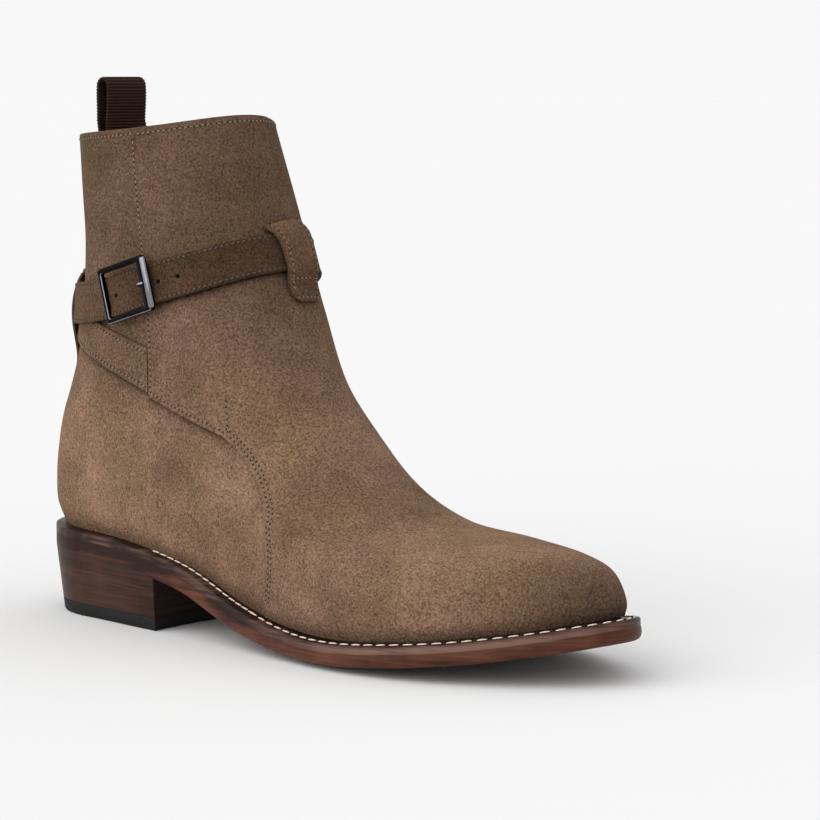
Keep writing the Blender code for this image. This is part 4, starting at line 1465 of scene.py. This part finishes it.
def weltLines():
    size = weltStitch
    top = aboveEdge(1.0, last["gap"] + last["weltThick"] + size["lift"])
    loop, waist = [planLoop(-size[key], top, size["stations"]) for key in ("inset", "waistInset")]
    share = np.clip((size["join"] - loop[:, :1]) / size["blend"] + 1, 0, 1)
    loop = loop * (1 - share) + waist * share
    heading = headings(loop)
    outward = np.array([0.0, 0.0, 1.0]) - heading * heading[:, 2:]
    x = loop[:, 0]
    outer = np.arange(len(loop)) < len(loop) // 2
    inWaist = (x > size["from"]) & (x < size["join"])
    waists = [np.flatnonzero(inWaist & part) for part in (outer, ~outer)]
    forefoot = np.flatnonzero(x >= size["join"])
    return [[(loop[k], outward[k]) for k in part] for part in (waists, [forefoot])]


def sewAll():
    tree = stitchTree()
    size = seamSize
    shared = {key.capitalize(): size[key] * mm for key in ("pitch", "length", "width", "height", "hole")}
    shared.update({"Slant": math.radians(9), "Thread": seamThread, "Shade": pitMaterial})
    growPiece("upper_stitches", pathMesh("upper_paths", seamLines()), tree, shared)
    growPiece("holder_stitches", pathMesh("holder_paths", holderLines()), tree, shared)
    brown = {**shared, "Thread": strapThread}
    growPiece("strap_stitches", pathMesh("strap_paths", strapLines()), tree, brown)
    size = weltStitch
    for part, lines in zip(("waist", "forefoot"), weltLines()):
        pitch, share, width = size[part]
        settings = {
            **shared, "Pitch": pitch * mm, "Length": pitch * share * mm, "Width": width * mm,
            "Height": size["height"] * mm, "Hole": size["hole"] * mm, "Slant": math.radians(size["slant"]),
            "Thread": creamThread}
        growPiece(part + "_stitches", pathMesh(part + "_paths", lines), tree, settings)


# Pull loop: a webbing sheet along a bent path, its ribs raised by a node tree

loopSize = {
    "half": 10.6,
    "side": 3.4,  # its middle, towards the inner side
    "thick": 1.3,
    "bend": 1.4,  # thickness that its bend and its place on the wall leave room for
    "opening": 5.0,
    "top": 227.0,
    "crest": 0.8,  # from its middle to its top, with the rib
    "tail": 12.0,
    "tailGap": 1.7,
    "flat": 7.0,
    "edge": 0.5,
    "pinch": 0.05,  # share by which it narrows down to the collar
    "pinchFrom": 6.0,
    "pinchOver": 8.0,
    "rib": 1.3,
    "ribHeight": 0.35,
}


def ribTree():
    tree, given, result = nodeTree("webbing_ribs", {"Rib": "Float", "Rise": "Float", "Cloth": "Material"})
    along = addNode(tree, "GeometryNodeInputNamedAttribute", {"Name": "along"}, data_type="FLOAT")
    phase = addNode(tree, "ShaderNodeMath", {0: along, 1: given["Rib"]}, operation="DIVIDE")
    phase = addNode(tree, "ShaderNodeMath", {0: phase, 1: math.pi}, operation="MULTIPLY")
    wave = addNode(tree, "ShaderNodeMath", {0: phase}, operation="SINE")
    wave = addNode(tree, "ShaderNodeMath", {0: wave}, operation="ABSOLUTE")
    rise = addNode(tree, "ShaderNodeMath", {0: wave, 1: given["Rise"]}, operation="MULTIPLY")
    normal = addNode(tree, "GeometryNodeInputNormal")
    offset = addNode(tree, "ShaderNodeVectorMath", {0: normal, "Scale": rise}, operation="SCALE")
    moved = addNode(tree, "GeometryNodeSetPosition", {"Geometry": given["Geometry"], "Offset": offset})
    # the ribs' wave is stored for the painted shade in their valleys
    marked = addNode(
        tree, "GeometryNodeStoreNamedAttribute", {"Geometry": moved, "Name": "rib", "Value": wave},
        data_type="FLOAT")
    real = addNode(tree, "GeometryNodeRealizeInstances", {"Geometry": marked})
    done = addNode(tree, "GeometryNodeSetMaterial", {"Geometry": real, "Material": given["Cloth"]})
    setInputs(tree, result, {"Geometry": done})
    return tree


# the webbing's path, as its distance from the wall and its height
def loopPath(collar):
    size = loopSize
    near = last["gap"] + size["bend"] / 2
    radius = (size["opening"] + size["bend"]) / 2
    tail = collar - size["tail"]
    bend = size["top"] - radius - size["crest"]
    middle = (collar + bend) / 2
    angles = np.linspace(math.pi, 0, 15)
    knots = [(near, tail), (near, collar), (near, middle)]
    knots += [(near + radius + radius * math.cos(a), bend + radius * math.sin(a)) for a in angles]
    knots += [(near + 1.9 * radius, middle), (near + 1.5 * radius, collar), (near + size["tailGap"], tail)]
    knots = np.array(knots)
    length = np.append(0, np.cumsum(np.linalg.norm(np.diff(knots, axis=0), axis=1)))
    along = np.arange(0, length[-1], size["rib"] / 8)
    return along, smoothRows(np.column_stack([length, knots]), along)


def makePullLoop():
    size = loopSize
    across = acrossSteps(2 * size["half"], 9) - size["half"]

    def innerWall(turn):
        return lifted(np.ones_like(turn), turn, -last["wall"])

    def short(turn):
        return size["side"] + across - innerWall(turn)[..., 1]

    wall = innerWall(solveRising(short, np.full_like(across, -1.3), np.full_like(across, 1.3)))
    backX, _, collar = wall[len(across) // 2]
    lean = (ringRows[-2][1] - ringRows[-1][1]) / (ringRows[-1][2] - ringRows[-2][2])
    along, path = loopPath(collar)
    heading = headings(path)
    sideways = np.stack([-heading[:, 1], heading[:, 0]], -1) * (size["thick"] - size["ribHeight"]) / 2
    thin = roundEdge(size["half"] - np.abs(across), size["edge"])[None]
    low = np.clip((collar + size["pinchFrom"] - path[:, 1:]) / size["pinchOver"], 0, 1)
    narrow = 1 - size["pinch"] * low
    sides = []
    for sense in (1, -1):
        line = path[:, None] + sense * sideways[:, None] * thin[..., None]
        height = line[..., 1]
        follow = 1 - np.clip((height - collar) / size["flat"], 0, 1)
        x = backX + follow * (wall[None, :, 0] - backX) + line[..., 0] + lean * np.maximum(collar - height, 0)
        sides.append(np.stack([x, size["side"] + across[None] * narrow, height], -1).reshape(-1, 3))
    points, sheet = closedSheet(*sides, gridFaces(len(path), len(across)))
    mesh = newMesh("webbing_sheet", points, [], outwardFaces(points, sheet))
    mesh.shade_smooth()
    addLayer(mesh, "along", np.tile(np.repeat(along * mm, len(across)), 2))
    settings = {"Rib": size["rib"] * mm, "Rise": size["ribHeight"] * mm, "Cloth": webbingMaterial}
    growPiece("webbing_loop", mesh, ribTree(), settings, ["pull_loop"])


sewAll()
makePullLoop()
print("stitches and webbing made")


# Floor, light and camera

studio = {
    "floor": "#dedede",
    "world": "#f8f8f8",
    "floorHalf": 20.0,
    "key": (1.9, 80.0, (-0.25, -1.0, 0.45)),  # strength, angle, where it comes from
    "top": (0.3, 80.0, (0.0, 0.0, 1.0)),
}
photoCamera = {
    "yaw": 44.0,
    "pitch": 6.0,
    "distance": 1280.0,
    "focal": 3256.0,  # in pixels of the frame
    "frame": 820.0,
    "sensor": 36.0,
    "target": (198.7, 0.0, 97.0),
}


def makeFloor():
    material, tree, shader, _ = newMaterial("matt_studio_floor")
    setInputs(tree, shader, {
        "Base Color": hexColour(studio["floor"]), "Roughness": 1.0, "Specular IOR Level": 0.0})
    half = studio["floorHalf"]
    mesh = bpy.data.meshes.new("floor")
    corners = [(-half, -half, 0), (half, -half, 0), (half, half, 0), (-half, half, 0)]
    mesh.from_pydata(corners, [], [(0, 1, 2, 3)])
    mesh.materials.append(material)
    addObject("floor", mesh)


# what looks along -back from a place
def facing(right, back, place):
    rows = np.stack([right, np.cross(back, right), back, place], -1).tolist()
    return Matrix([*rows, (0.0, 0.0, 0.0, 1.0)])


def addSun(name, strength, angle, source):
    light = bpy.data.lights.new(name, "SUN")
    light.energy = strength
    light.angle = math.radians(angle)
    back = unit(np.array(source))
    right = unit(np.cross((0.0, 1.0, 0.0) if back[2] > 0.99 else (0.0, 0.0, 1.0), back))
    addObject(name, light).matrix_world = facing(right, back, np.zeros(3))


def makeStudio():
    world = bpy.data.worlds.new("studio")
    world.use_nodes = True
    glow = {"Color": hexColour(studio["world"]), "Strength": 1.0}
    setInputs(world.node_tree, world.node_tree.nodes["Background"], glow)
    bpy.context.scene.world = world
    for name in ("key", "top"):
        addSun(name, *studio[name])
    bpy.context.scene.view_settings.view_transform = "Standard"


def makeCamera():
    size = photoCamera
    yaw = math.radians(size["yaw"])
    pitch = math.radians(size["pitch"])
    back = np.array([math.sin(yaw) * math.cos(pitch), -math.cos(yaw) * math.cos(pitch), math.sin(pitch)])
    right = np.array([math.cos(yaw), math.sin(yaw), 0.0])
    place = (np.array(size["target"]) + shift + size["distance"] * back) * mm
    lens = bpy.data.cameras.new("photo_camera")
    lens.sensor_width = size["sensor"]
    lens.lens = size["focal"] / size["frame"] * size["sensor"]
    lens.clip_start = 0.05
    camera = addObject("photo_camera", lens)
    camera.matrix_world = facing(right, back, place)
    bpy.context.scene.camera = camera


makeFloor()
makeStudio()
makeCamera()
print("studio set")
